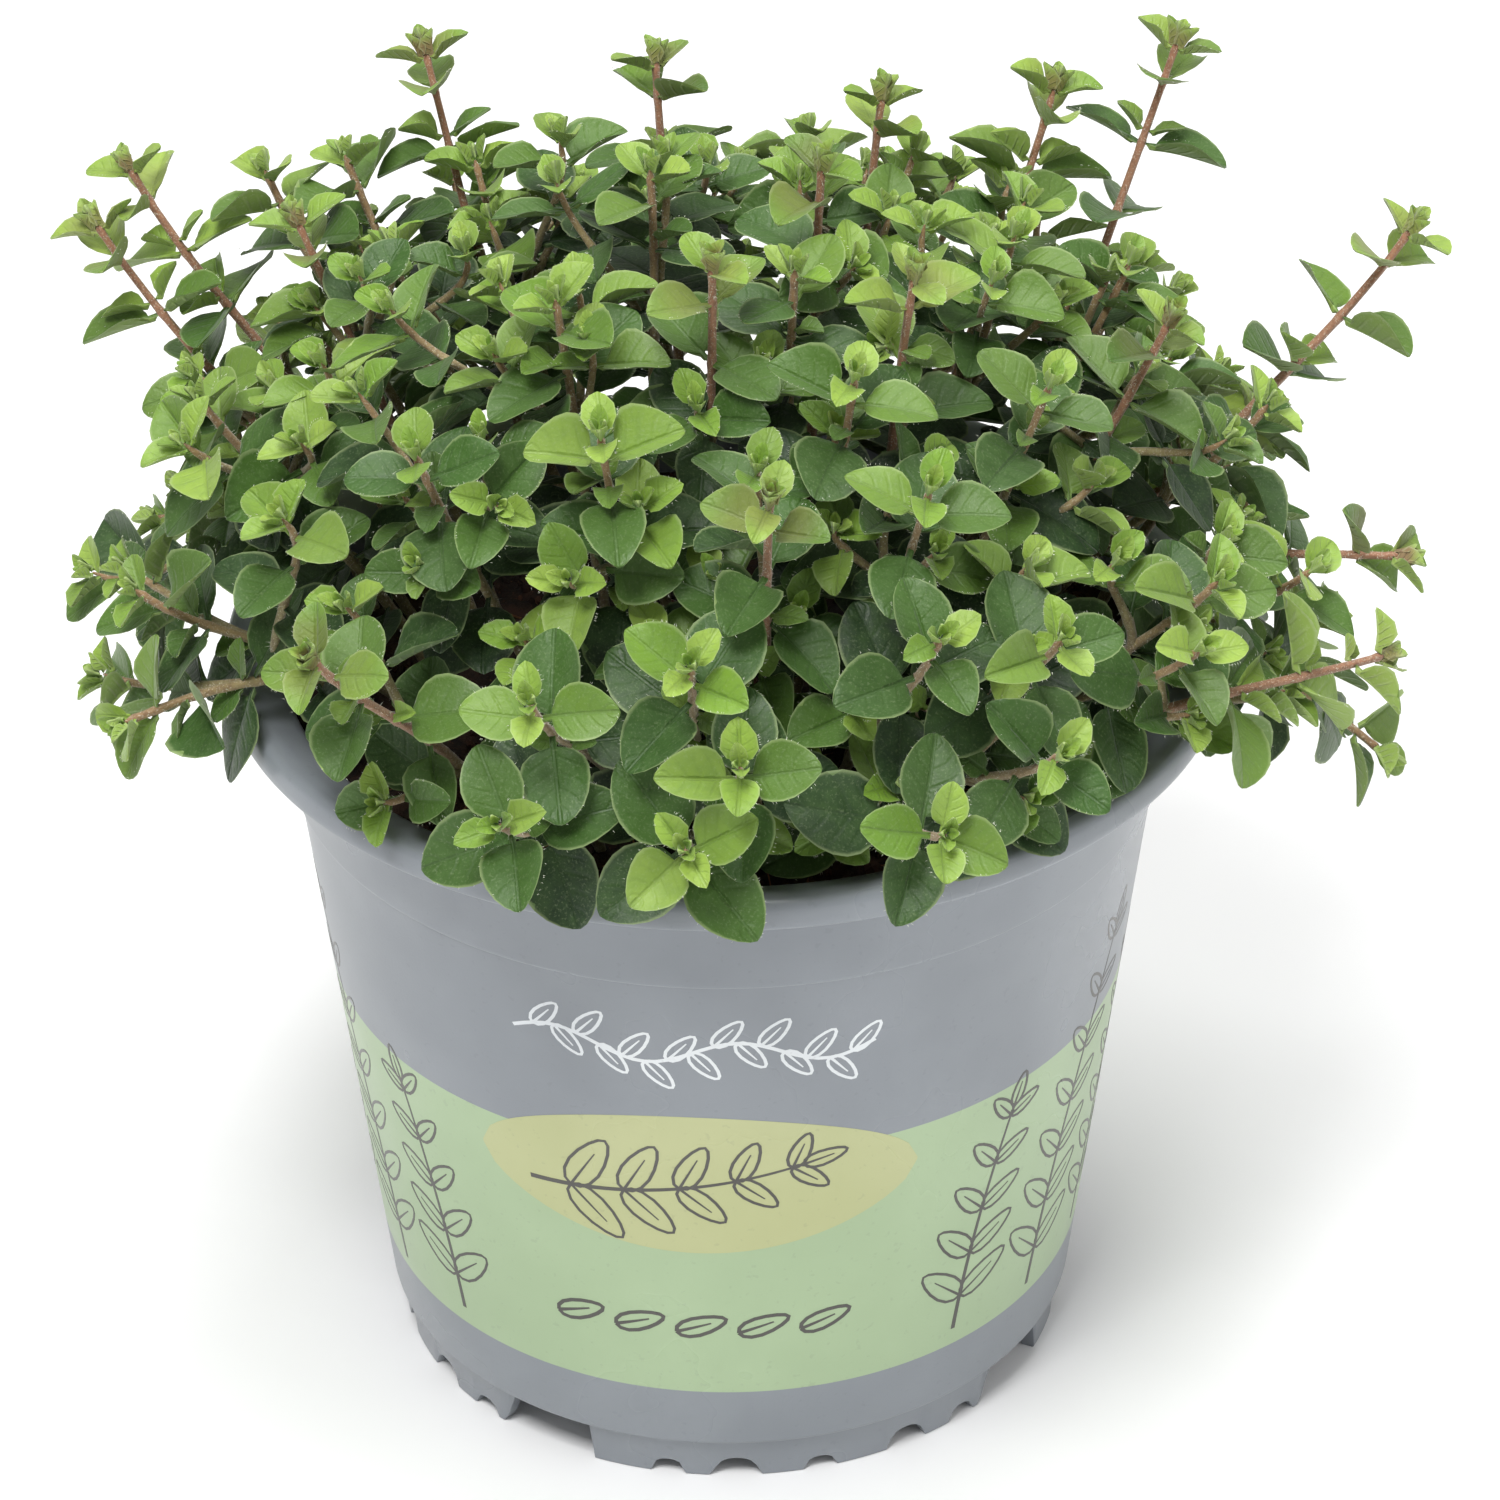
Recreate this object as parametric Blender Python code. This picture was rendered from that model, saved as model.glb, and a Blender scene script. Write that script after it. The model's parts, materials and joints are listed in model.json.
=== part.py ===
"""An oregano plant in a plastic nursery pot, filled with potting soil.

The pot stands on the ground at the origin, +Z is up and -Y is the front.
Each leafy stem is one closed solid: a square stem, as all plants of the mint family have, whose leaves grow
in opposite pairs out of its faces, every pair a quarter turn from the one below. The stems stand in plain
holes in the soil and fan out to a dome of shoot tips. Lengths are in metres.
"""

import math
import random

import bmesh
import bpy
from mathutils import Quaternion, Vector
from mathutils.bvhtree import BVHTree

SEED = 41
UP = Vector((0.0, 0.0, 1.0))

# Pot
LIP_RADIUS = 0.065
POT_HEIGHT = 0.1044
LIP_HEIGHT = 0.0039
LIP_TOP_WIDTH = 0.0018
COLLAR_RADIUS = 0.0586
COLLAR_FOOT_RADIUS = 0.0570
STEP_HEIGHT = 0.0866
STEP_RADIUS = 0.0563
BASE_RADIUS = 0.0466
BASE_HEIGHT = 0.0065
FOOT_RADIUS = 0.0455
WALL = 0.0011
WALL_SLACK = 0.0004
FLOOR = 0.0016
# Small slopes and setbacks between the pot's main rings
FLOOR_DROP = 0.0004
FOOT_SETBACK = 0.0010
FOOT_DRAFT = 0.0014
FOOT_TAPER = 0.0006
BASE_SLOPE = 0.0003
STEP_SLOPE = 0.0006
COLLAR_SLOPE = 0.0010
LIP_TAPER = 0.0010
LIP_TOP_SLOPE = 0.0001
LIP_INSIDE_DROP = 0.0021
QUARTERS = 4
# The foot ring's lower edge over one quarter: degrees round from the front towards +X, and height.
# Each quarter is a broad foot with four arches in it, and a gap.
GAP_HEIGHT = 0.0058
ARCH_HEIGHT = 0.0030
FOOT_QUARTER = (
    (-24.0, GAP_HEIGHT), (-20.5, 0.0), (-14.5, 0.0), (-11.0, ARCH_HEIGHT), (-7.5, 0.0), (-3.0, 0.0),
    (0.6, ARCH_HEIGHT), (4.2, 0.0), (11.0, 0.0), (15.0, ARCH_HEIGHT), (19.0, 0.0), (27.0, 0.0),
    (31.0, ARCH_HEIGHT), (35.0, 0.0), (39.5, 0.0), (43.0, ARCH_HEIGHT), (47.5, 0.0), (52.0, GAP_HEIGHT),
    (59.0, GAP_HEIGHT),
)
DRAIN_RADIUS = 0.0040
DRAIN_RING = 0.0300
DRAINS = 6
DRAIN_SIDES = 8
DRAIN_DEPTH = 0.008
DRAIN_TURN = 0.55

# Soil
GAP = 0.0003
SOIL_TOP = 0.0972
SOIL_SIDES = 30
SOIL_EDGE_DROP = 0.0012
SOIL_EDGE_WIDTH = 0.006
GUARD_SIDES = 60
HOLE_DEPTH = 0.007
HOLE_LENGTH = 0.011

# Dome of shoot tips, over the middle of the pot at the height of its rim
DOME_RADIUS = 0.080
DOME_RISE = 0.063
DOME_CENTRE = Vector((0.0, 0.0, 0.102))
ROSETTE_REACH = 1.02
SPIRE_REACH = 1.10

# Where the photograph was taken from, and its frame in pixels
CAMERA_PLACE = Vector((0.0, -0.6646, 0.5091))
CAMERA_PITCH = math.radians(32.52)
CAMERA_YAW = math.radians(0.27)
CAMERA_ROLL = math.radians(-0.40)
FOCAL_PIXELS = 6000.0
FRAME_MIDDLE = (750.0, 750.0)

# Shoot tips that the photograph shows, in pixels of its frame, by the kind of shoot
ROSETTES_IN_PHOTO = (
    (475, 160), (345, 155), (265, 170), (650, 170), (795, 270), (1015, 235), (1130, 262), (1050, 385),
    (855, 378), (600, 435), (555, 300), (415, 455), (930, 490), (1062, 640), (1218, 582), (1200, 650),
    (1312, 570), (1060, 755), (945, 835), (740, 768), (685, 850), (500, 825), (135, 590), (125, 722),
    (690, 668), (1268, 405), (1382, 752), (198, 398), (530, 705), (940, 640),
)
SPIRES_IN_PHOTO = (
    (128, 165), (95, 222), (425, 50), (655, 58), (822, 165), (882, 95), (1055, 85), (1178, 40),
    (1412, 228), (297, 220), (712, 265), (915, 275), (1170, 320), (770, 500), (1402, 556), (1385, 655),
    (312, 660),
)
# The long stem at the lower right swings out over the front of the rim
SWUNG_SHOOT = (1385, 655)
SWING = Vector((-0.004, -0.034, -0.004))
REAR_SHOOTS = 9
REAR_SPACING = 0.030
REAR_TURN = (15, 165)
REAR_RISE = (0.05, 0.75)
REAR_REACH = (0.96, 1.06)
SPACING_SHRINK = 0.998

# Stems, whose section is a square with these corners
SQUARE = ((1, -1), (1, 1), (-1, 1), (-1, -1))
STEM_HALF_WIDTH = 0.00080
STEM_TIP_HALF_WIDTH = 0.00045
STEM_CLEARANCE = 0.0026
ROOT_SHARE = 0.50
ROOT_LIMIT = 0.047
ROOT_SPACING = 0.0078
ROOT_JITTER = 0.003
ROOT_PASSES = 200
ROOT_PUSH = 0.3
# How a stem's curve leaves the soil and reaches its tip, as shares of its length and of the upward way
ROOT_PULL = 0.42
ROOT_LEAN = 0.30
TIP_PULL = 0.34
TIP_LIFT = 0.55
STEM_TRIES = 14
SWAY_STEP = 0.0012
LIFT_STEP = 0.002
LIFT_LIMIT = 0.03
RIM_CLEARANCE = 0.0035
RIM_INSIDE = 0.004
RIM_OUTSIDE = 0.003
RING_SPACING = 0.024
LOW_BAND = 0.0010
HIGH_BAND = 0.0013

# Leaf pairs, from the tip down: distance below the tip, leaf length, pitch above the stem's face in degrees
ROSETTE_PAIRS = (
    (0.0012, 0.0058, 54), (0.0046, 0.0098, 38), (0.0105, 0.0136, 22), (0.0185, 0.0152, 10),
    (0.0280, 0.0150, 2),
)
SPIRE_PAIRS = (
    (0.0012, 0.0060, 50), (0.0054, 0.0088, 38), (0.0135, 0.0115, 24), (0.0225, 0.0140, 12),
)
LEAF_WIDTH_SHARE = 0.73
LEAF_THICKNESS = 0.0006
# Leaves turn their upper faces to the light, which comes from above, from outside and a little in front
LIGHT_PULL = 0.48
LIGHT_SPREAD = 0.70
LIGHT_LEAN = Vector((0.0, -0.30, 0.0))
LEAF_CLEARANCE = 0.0003
LEAF_TRIES = 40
# The shares of its length from which on a leaf keeps clear of other stems, and of its own
SHELL_START = 0.14
OWN_SHELL_START = 0.30
# How far a leaf may turn, tilt and roll from its natural place, in degrees
LEAF_TURN = 34
LEAF_TILT = 26
LEAF_ROLL = 30
LEAF_SHRINK = 0.018
LEAF_COLOURS = {"rosette": (0.08, 0.21, 0.05), "spire": (0.16, 0.30, 0.06)}
MIDRIB_POINT = 0.5
SMALL_LEAF = 0.0060
MIDDLE_LEAF = 0.0104
MIDDLE_OUTLINE = ((0.46, 1.0), (1.0, 0.0), (0.46, -1.0))
LARGE_OUTLINE = ((0.27, 0.82), (0.66, 0.93), (1.0, 0.0), (0.66, -0.93), (0.27, -0.82))
LEAF_FOOT_WIDTH = 0.30


def material(name, colour, roughness):
    made = bpy.data.materials.new(name)
    made.use_nodes = True
    shader = made.node_tree.nodes["Principled BSDF"]
    shader.inputs["Base Color"].default_value = (*colour, 1.0)
    shader.inputs["Roughness"].default_value = roughness
    shader.inputs["Metallic"].default_value = 0.0
    return made


def warped(face):
    """True for a face with four corners that don't lie in one plane."""
    middle = face.calc_center_median()
    return any(abs((corner.co - middle).dot(face.normal)) > 1e-7 for corner in face.verts)


def add_object(name, points, faces, finish):
    """One closed solid from points and faces, with its faces turned outwards."""
    mesh = bpy.data.meshes.new(name)
    mesh.from_pydata(points, [], faces)
    work = bmesh.new()
    work.from_mesh(mesh)
    bmesh.ops.triangulate(work, faces=[face for face in work.faces if len(face.verts) > 4 or warped(face)])
    bmesh.ops.recalc_face_normals(work, faces=work.faces)
    work.to_mesh(mesh)
    work.free()
    mesh.materials.append(finish)
    made = bpy.data.objects.new(name, mesh)
    bpy.context.scene.collection.objects.link(made)
    return made


def hide_cutter(cutter):
    cutter.hide_render = True
    cutter.display_type = "WIRE"


# Pot


def turned(profile, angles, lowest=None):
    """Points and faces of a closed profile of (radius, height) turned round Z, with a side at each angle.
    The profile starts and ends on the axis. lowest maps a profile index to a height for each side."""
    points = [(0.0, 0.0, profile[0][1]), (0.0, 0.0, profile[-1][1])]
    rings = []
    for index, (radius, height) in enumerate(profile[1:-1], 1):
        levels = lowest[index] if lowest and index in lowest else [height] * len(angles)
        rings.append(range(len(points), len(points) + len(angles)))
        for angle, level in zip(angles, levels):
            points.append((radius * math.cos(angle), radius * math.sin(angle), level))
    faces = []
    for side in range(len(angles)):
        after = (side + 1) % len(angles)
        faces.append((0, rings[0][side], rings[0][after]))
        faces.append((1, rings[-1][after], rings[-1][side]))
        for lower, upper in zip(rings, rings[1:]):
            faces.append((lower[side], upper[side], upper[after], lower[after]))
    return points, faces


def inner_radius(height):
    """Radius of the pot's inside at a height, which follows the outer wall."""
    share = (height - BASE_HEIGHT) / (POT_HEIGHT - LIP_HEIGHT - BASE_HEIGHT)
    return BASE_RADIUS + share * (COLLAR_RADIUS - BASE_RADIUS) - WALL - WALL_SLACK


def foot_ring():
    """Angles of the pot's sides and the height of the foot ring's lower edge at each."""
    angles, levels = [], []
    for quarter in range(QUARTERS):
        for degrees, level in FOOT_QUARTER:
            angles.append(math.radians(degrees - 90.0 + 360.0 * quarter / QUARTERS))
            levels.append(level)
    return angles, levels


def build_pot(finish):
    lip_foot = POT_HEIGHT - LIP_HEIGHT
    profile = [
        (0.0, BASE_HEIGHT - FLOOR_DROP),
        (FOOT_RADIUS - WALL - FOOT_SETBACK, BASE_HEIGHT - FLOOR_DROP),
        (FOOT_RADIUS - WALL - FOOT_DRAFT, 0.0),
        (FOOT_RADIUS - FOOT_TAPER, 0.0),
        (FOOT_RADIUS, BASE_HEIGHT - BASE_SLOPE),
        (BASE_RADIUS, BASE_HEIGHT),
        (STEP_RADIUS, STEP_HEIGHT - STEP_SLOPE),
        (COLLAR_FOOT_RADIUS, STEP_HEIGHT),
        (COLLAR_RADIUS, lip_foot + COLLAR_SLOPE),
        (LIP_RADIUS, lip_foot),
        (LIP_RADIUS - LIP_TAPER, POT_HEIGHT),
        (LIP_RADIUS - LIP_TAPER - LIP_TOP_WIDTH, POT_HEIGHT - LIP_TOP_SLOPE),
        (inner_radius(POT_HEIGHT - LIP_INSIDE_DROP), POT_HEIGHT - LIP_INSIDE_DROP),
        (inner_radius(BASE_HEIGHT + FLOOR), BASE_HEIGHT + FLOOR),
        (0.0, BASE_HEIGHT + FLOOR),
    ]
    angles, levels = foot_ring()
    pot = add_object("pot", *turned(profile, angles, {2: levels, 3: levels}), finish)
    for hole in range(DRAINS):
        angle = 2 * math.pi * (hole + DRAIN_TURN) / DRAINS
        bpy.ops.mesh.primitive_cylinder_add(
            vertices=DRAIN_SIDES,
            radius=DRAIN_RADIUS,
            depth=DRAIN_DEPTH,
            location=(DRAIN_RING * math.cos(angle), DRAIN_RING * math.sin(angle), BASE_HEIGHT + FLOOR / 2),
        )
        cutter = bpy.context.object
        cutter.name = f"drain_cutter_{hole + 1}"
        hide_cutter(cutter)
        cut = pot.modifiers.new(f"drain_{hole + 1}", "BOOLEAN")
        cut.operation = "DIFFERENCE"
        cut.object = cutter
    return pot


# Layout of the shoots


def camera_axes():
    """Forward, right and up of the photograph's camera."""
    forward = Vector(
        (
            math.sin(CAMERA_YAW) * math.cos(CAMERA_PITCH),
            math.cos(CAMERA_YAW) * math.cos(CAMERA_PITCH),
            -math.sin(CAMERA_PITCH),
        )
    )
    right = forward.cross(UP).normalized()
    up = right.cross(forward)
    turn = Quaternion(forward, -CAMERA_ROLL)
    return forward, turn @ right, turn @ up


def tip_from_photo(pixel, reach):
    """The point that a pixel shows: where its line of sight meets the dome grown by reach,
    or passes nearest to the dome's middle where it misses it."""
    forward, right, up = camera_axes()
    across = (pixel[0] - FRAME_MIDDLE[0]) / FOCAL_PIXELS
    above = (FRAME_MIDDLE[1] - pixel[1]) / FOCAL_PIXELS
    ray = (forward + across * right + above * up).normalized()
    shrink = Vector((1 / DOME_RADIUS, 1 / DOME_RADIUS, 1 / DOME_RISE))
    start = (CAMERA_PLACE - DOME_CENTRE) * shrink
    along = ray * shrink
    a = along.length_squared
    b = start.dot(along)
    c = start.length_squared - reach**2
    inside = b * b - a * c
    travel = (-b - math.sqrt(max(0.0, inside))) / a
    return CAMERA_PLACE + travel * ray


def dome_point(turn, rise, reach):
    """A point of the dome at a compass angle and a height angle."""
    return DOME_CENTRE + reach * Vector(
        (
            DOME_RADIUS * math.cos(turn) * math.cos(rise),
            DOME_RADIUS * math.sin(turn) * math.cos(rise),
            DOME_RISE * math.sin(rise),
        )
    )


def shoot_tips(draw):
    """Every shoot's (tip, kind): those of the photograph, then the rear of the dome, evenly filled."""
    tips = [(tip_from_photo(pixel, ROSETTE_REACH), "rosette") for pixel in ROSETTES_IN_PHOTO]
    tips += [(tip_from_photo(pixel, SPIRE_REACH), "spire") for pixel in SPIRES_IN_PHOTO]
    placed = 0
    spacing = REAR_SPACING
    while placed < REAR_SHOOTS:
        turn = math.radians(draw.uniform(*REAR_TURN))
        rise = math.asin(draw.uniform(*REAR_RISE))
        tip = dome_point(turn, rise, draw.uniform(*REAR_REACH))
        if all((tip - other).length > spacing for other, _ in tips):
            tips.append((tip, "spire" if placed % 3 == 2 else "rosette"))
            placed += 1
        spacing *= SPACING_SHRINK
    return tips


def spread_roots(tips, draw):
    """Where each stem leaves the soil: inward of its tip, and pushed apart until all have room."""
    roots = []
    for tip, _ in tips:
        level = Vector((tip.x, tip.y, 0.0)) * ROOT_SHARE
        level += Vector((draw.uniform(-1, 1), draw.uniform(-1, 1), 0.0)) * ROOT_JITTER
        roots.append(level)
    for _ in range(ROOT_PASSES):
        for i, a in enumerate(roots):
            for b in roots[i + 1 :]:
                apart = a - b
                if 1e-9 < apart.length < ROOT_SPACING:
                    push = apart.normalized() * (ROOT_SPACING - apart.length) * ROOT_PUSH
                    a += push
                    b -= push
        for root in roots:
            if root.length > ROOT_LIMIT:
                root *= ROOT_LIMIT / root.length
    return [Vector((root.x, root.y, SOIL_TOP - HOLE_DEPTH + 2 * GAP)) for root in roots]


def bezier(handles, count=25):
    """Evenly counted points of a cubic curve."""
    a, b, c, d = handles
    points = []
    for index in range(count):
        t = index / (count - 1)
        s = 1 - t
        points.append(s**3 * a + 3 * s * s * t * b + 3 * s * t * t * c + t**3 * d)
    return points


def stem_handles(root, tip, sway, lift):
    """A stem rises from its root, leans out and lifts its tip again."""
    length = (tip - root).length
    out = (tip - DOME_CENTRE) * Vector((1 / DOME_RADIUS**2, 1 / DOME_RADIUS**2, 1 / DOME_RISE**2))
    end = (out.normalized() + TIP_LIFT * UP).normalized()
    rise = (UP + ROOT_LEAN * Vector((out.x, out.y, 0.0)).normalized()).normalized()
    first = root + rise * length * ROOT_PULL + sway + UP * lift
    second = tip - end * length * TIP_PULL + 0.5 * sway + UP * lift
    return root, first, second, tip


def over_rim(points):
    """True where a stem clears the pot's lip as it crosses it."""
    return all(
        point.z > POT_HEIGHT + RIM_CLEARANCE
        for point in points
        if COLLAR_RADIUS - RIM_INSIDE < math.hypot(point.x, point.y) < LIP_RADIUS + RIM_OUTSIDE
    )


def room_between(points, others):
    """The smallest distance from one stem's points to the points of the others."""
    return min(((a - b).length for other in others for b in other for a in points), default=1.0)


def route_stems(tips, roots, draw):
    """A curve for each stem that clears the rim and the stems before it."""
    routes = []
    swung = len(ROSETTES_IN_PHOTO) + SPIRES_IN_PHOTO.index(SWUNG_SHOOT)
    for number, ((tip, _), root) in enumerate(zip(tips, roots)):
        best, best_room = None, -1.0
        for attempt in range(STEM_TRIES):
            reach = SWAY_STEP * attempt
            turn = draw.uniform(0, 2 * math.pi)
            sway = Vector((math.cos(turn), math.sin(turn), 0.0)) * reach
            if number == swung:
                sway += SWING
            lift = 0.0
            points = bezier(stem_handles(root, tip, sway, lift))
            while not over_rim(points) and lift < LIFT_LIMIT:
                lift += LIFT_STEP
                points = bezier(stem_handles(root, tip, sway, lift))
            room = room_between(points, routes)
            if room > best_room:
                best, best_room = points, room
            if room > STEM_CLEARANCE:
                break
        routes.append(best)
    return routes


class Route:
    """A stem's centreline with a frame that doesn't twist."""

    def __init__(self, points, turn):
        self.points = points
        self.along = [0.0]
        for a, b in zip(points, points[1:]):
            self.along.append(self.along[-1] + (b - a).length)
        self.length = self.along[-1]
        tangent = (points[1] - points[0]).normalized()
        side = tangent.orthogonal().normalized()
        side.rotate(Quaternion(tangent, turn))
        self.tangents, self.sides = [], []
        for index in range(len(points)):
            before, after = points[max(0, index - 1)], points[min(len(points) - 1, index + 1)]
            new = (after - before).normalized()
            side.rotate(tangent.rotation_difference(new))
            side = (side - new * side.dot(new)).normalized()
            tangent = new
            self.tangents.append(tangent.copy())
            self.sides.append(side.copy())

    def at(self, distance):
        """Point, tangent and side at a distance from the root."""
        distance = min(max(distance, 0.0), self.length)
        index = 0
        while index < len(self.points) - 2 and self.along[index + 1] < distance:
            index += 1
        share = (distance - self.along[index]) / (self.along[index + 1] - self.along[index])
        point = self.points[index].lerp(self.points[index + 1], share)
        tangent = self.tangents[index].lerp(self.tangents[index + 1], share).normalized()
        side = self.sides[index].lerp(self.sides[index + 1], share)
        side = (side - tangent * side.dot(tangent)).normalized()
        return point, tangent, side

    def half_width(self, distance):
        share = distance / self.length
        return STEM_HALF_WIDTH + (STEM_TIP_HALF_WIDTH - STEM_HALF_WIDTH) * share


# Leaves


class Leaf:
    """One leaf's place: where it leaves the stem, which way it points and faces, and its size."""

    def __init__(self, foot, forward, upper, length, width, curl, fold):
        self.foot = foot
        self.forward = forward.normalized()
        self.upper = (upper - self.forward * upper.dot(self.forward)).normalized()
        self.across = self.forward.cross(self.upper)
        self.length = length
        self.width = width
        self.curl = curl
        self.fold = fold

    def point(self, along, across, above=0.0):
        """A point of the blade: along and across in shares of its length and half width."""
        side = across * self.width / 2
        bend = -self.curl * self.length * along**2 + self.fold * abs(side)
        ahead = self.forward * (along * self.length)
        return self.foot + ahead + self.across * side + self.upper * (bend + above)

    def outline(self):
        """(along, across) round the blade, from the right of its foot over the tip to the left."""
        if self.length < MIDDLE_LEAF:
            return MIDDLE_OUTLINE
        return LARGE_OUTLINE

    def shell(self, start, grow):
        """The blade alone from a share of its length on, as (points, faces) to test what it would touch.
        grow is added all round it."""
        outline = [(start, LEAF_FOOT_WIDTH), *self.outline(), (start, -LEAF_FOOT_WIDTH)]
        half = LEAF_THICKNESS / 2 + grow
        widen = 1 + grow / (self.width / 2)
        points = [self.point(a, b * widen, side) for side in (half, -half) for a, b in outline]
        count = len(outline)
        points += [self.point(MIDRIB_POINT, 0.0, half), self.point(MIDRIB_POINT, 0.0, -half)]
        faces = []
        for i in range(count):
            j = (i + 1) % count
            faces.append((i, j, 2 * count))
            faces.append((count + j, count + i, 2 * count + 1))
            faces.append((i, count + i, count + j, j))
        return points, faces


class Crowd:
    """All that stands in the way of a new leaf, as search trees with their spheres and owners, kept by the
    cells of space that they lie in."""

    CELL = 0.012

    def __init__(self):
        self.members = []
        self.cells = {}

    def cells_round(self, middle, radius):
        low = [int(math.floor((value - radius) / self.CELL)) for value in middle]
        high = [int(math.floor((value + radius) / self.CELL)) for value in middle]
        for x in range(low[0], high[0] + 1):
            for y in range(low[1], high[1] + 1):
                for z in range(low[2], high[2] + 1):
                    yield x, y, z

    def add(self, points, faces, owner=None):
        middle = sum(points, Vector()) / len(points)
        radius = max((point - middle).length for point in points)
        for cell in self.cells_round(middle, radius):
            self.cells.setdefault(cell, []).append(len(self.members))
        self.members.append((BVHTree.FromPolygons(points, faces), middle, radius, owner))

    def near(self, middle, radius):
        found = set()
        for cell in self.cells_round(middle, radius):
            found.update(self.cells.get(cell, ()))
        return [self.members[index] for index in sorted(found)]

    def has_room(self, leaf, owner):
        """True where the leaf keeps its distance from all others, and meets no leaf of its own stem."""
        apart_tree = BVHTree.FromPolygons(*leaf.shell(SHELL_START, 2 * LEAF_CLEARANCE))
        close_tree = BVHTree.FromPolygons(*leaf.shell(OWN_SHELL_START, 0.0))
        middle = leaf.point(0.5, 0.0)
        for tree, centre, size, whose in self.near(middle, leaf.length):
            if (centre - middle).length > leaf.length + size:
                continue
            if tree.overlap(close_tree if whose == owner else apart_tree):
                return False
        return True


def tube(points, radius):
    """A plain square tube round a line of points, for testing what it would touch."""
    made, faces = [], []
    for index, point in enumerate(points):
        before, after = points[max(0, index - 1)], points[min(len(points) - 1, index + 1)]
        tangent = (after - before).normalized()
        a = tangent.orthogonal().normalized()
        b = tangent.cross(a)
        made += [point + radius * (x * a + y * b) for x, y in ((1, 1), (-1, 1), (-1, -1), (1, -1))]
        if index:
            low = 4 * (index - 1)
            faces += [(low + k, low + (k + 1) % 4, low + 4 + (k + 1) % 4, low + 4 + k) for k in range(4)]
    return made, faces


def pot_guard():
    """The surfaces of the soil and the pot that leaves keep clear of, as strips round the axis."""
    profile = (
        (0.0, SOIL_TOP),
        (COLLAR_RADIUS - WALL - 0.001, SOIL_TOP),
        (COLLAR_RADIUS - WALL, POT_HEIGHT),
        (LIP_RADIUS, POT_HEIGHT),
        (LIP_RADIUS, POT_HEIGHT - LIP_HEIGHT),
        (COLLAR_RADIUS, POT_HEIGHT - LIP_HEIGHT),
        (BASE_RADIUS, 0.0),
    )
    points, faces = [], []
    for radius, height in profile:
        for side in range(GUARD_SIDES):
            angle = 2 * math.pi * side / GUARD_SIDES
            points.append(Vector((radius * math.cos(angle), radius * math.sin(angle), height)))
    for ring in range(len(profile) - 1):
        for side in range(GUARD_SIDES):
            a, b = ring * GUARD_SIDES + side, ring * GUARD_SIDES + (side + 1) % GUARD_SIDES
            faces.append((a, b, b + GUARD_SIDES, a + GUARD_SIDES))
    return points, faces


def try_leaf(foot, normal, tangent, length, pitch, draw, attempt):
    """A leaf on a stem's face, turned and tilted further from its natural place with each attempt."""
    loose = min(1.0, 0.25 + attempt / 12)
    turn = math.radians(draw.uniform(-LEAF_TURN, LEAF_TURN)) * loose
    tilt = math.radians(pitch + draw.uniform(-LEAF_TILT, LEAF_TILT) * loose)
    roll = math.radians(draw.uniform(-LEAF_ROLL, LEAF_ROLL)) * loose
    size = length * draw.uniform(0.90, 1.10) * (1 - LEAF_SHRINK * attempt)
    normal = normal.copy()
    normal.rotate(Quaternion(tangent, turn))
    forward = normal * math.cos(tilt) + tangent * math.sin(tilt)
    upper = tangent * math.cos(tilt) - normal * math.sin(tilt)
    upper.rotate(Quaternion(forward, roll))
    light = (UP + LIGHT_LEAN + LIGHT_SPREAD * (foot - DOME_CENTRE).normalized()).normalized()
    upper = upper.lerp(light, LIGHT_PULL).normalized()
    forward -= upper * forward.dot(upper)
    width = size * LEAF_WIDTH_SHARE * draw.uniform(0.92, 1.10)
    curl = draw.uniform(0.02, 0.20) * (1 if attempt < 20 else 0.3)
    fold = draw.uniform(-0.10, 0.28)
    return Leaf(foot, forward, upper, size, width, curl, fold)


def leaf_nodes(route, kind, number, draw):
    """Distances from the root of a stem's leaf pairs, with each pair's leaf length and pitch, root first.
    Only every third rosette has the lowest pair."""
    pairs = SPIRE_PAIRS if kind == "spire" else ROSETTE_PAIRS[: 5 if number % 3 == 0 else 4]
    grow = draw.uniform(0.90, 1.10)
    return [
        (route.length - below * grow, length * draw.uniform(0.94, 1.08), pitch)
        for below, length, pitch in reversed(pairs)
    ]


def grow_pair(stem, key, distance, length, pitch, first, owner, crowd, draw):
    """Two opposite leaves, each turned until it is clear of all that is there, or left out where it
    finds no room."""
    route = stem["route"]
    point, tangent, side = route.at(distance)
    half = route.half_width(distance)
    other = tangent.cross(side)
    normals = (side, other, -side, -other)
    for face in (first, first + 2):
        foot = point + normals[face] * half
        for attempt in range(LEAF_TRIES):
            leaf = try_leaf(foot, normals[face], tangent, length, pitch, draw, attempt)
            if crowd.has_room(leaf, owner):
                crowd.add(*leaf.shell(SHELL_START, 0.0), owner)
                stem["leaves"][(key, face)] = leaf
                break


def grow_leaves(stems, crowd, draw):
    """Leaves for every stem, the outer pairs of all stems first."""
    pairs = max(len(stem["nodes"]) for stem in stems)
    for rank in range(pairs):
        for owner, stem in enumerate(stems):
            number = len(stem["nodes"]) - 1 - rank
            if number >= 0:
                distance, length, pitch = stem["nodes"][number]
                grow_pair(stem, number, distance, length, pitch, rank % 2, owner, crowd, draw)


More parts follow.
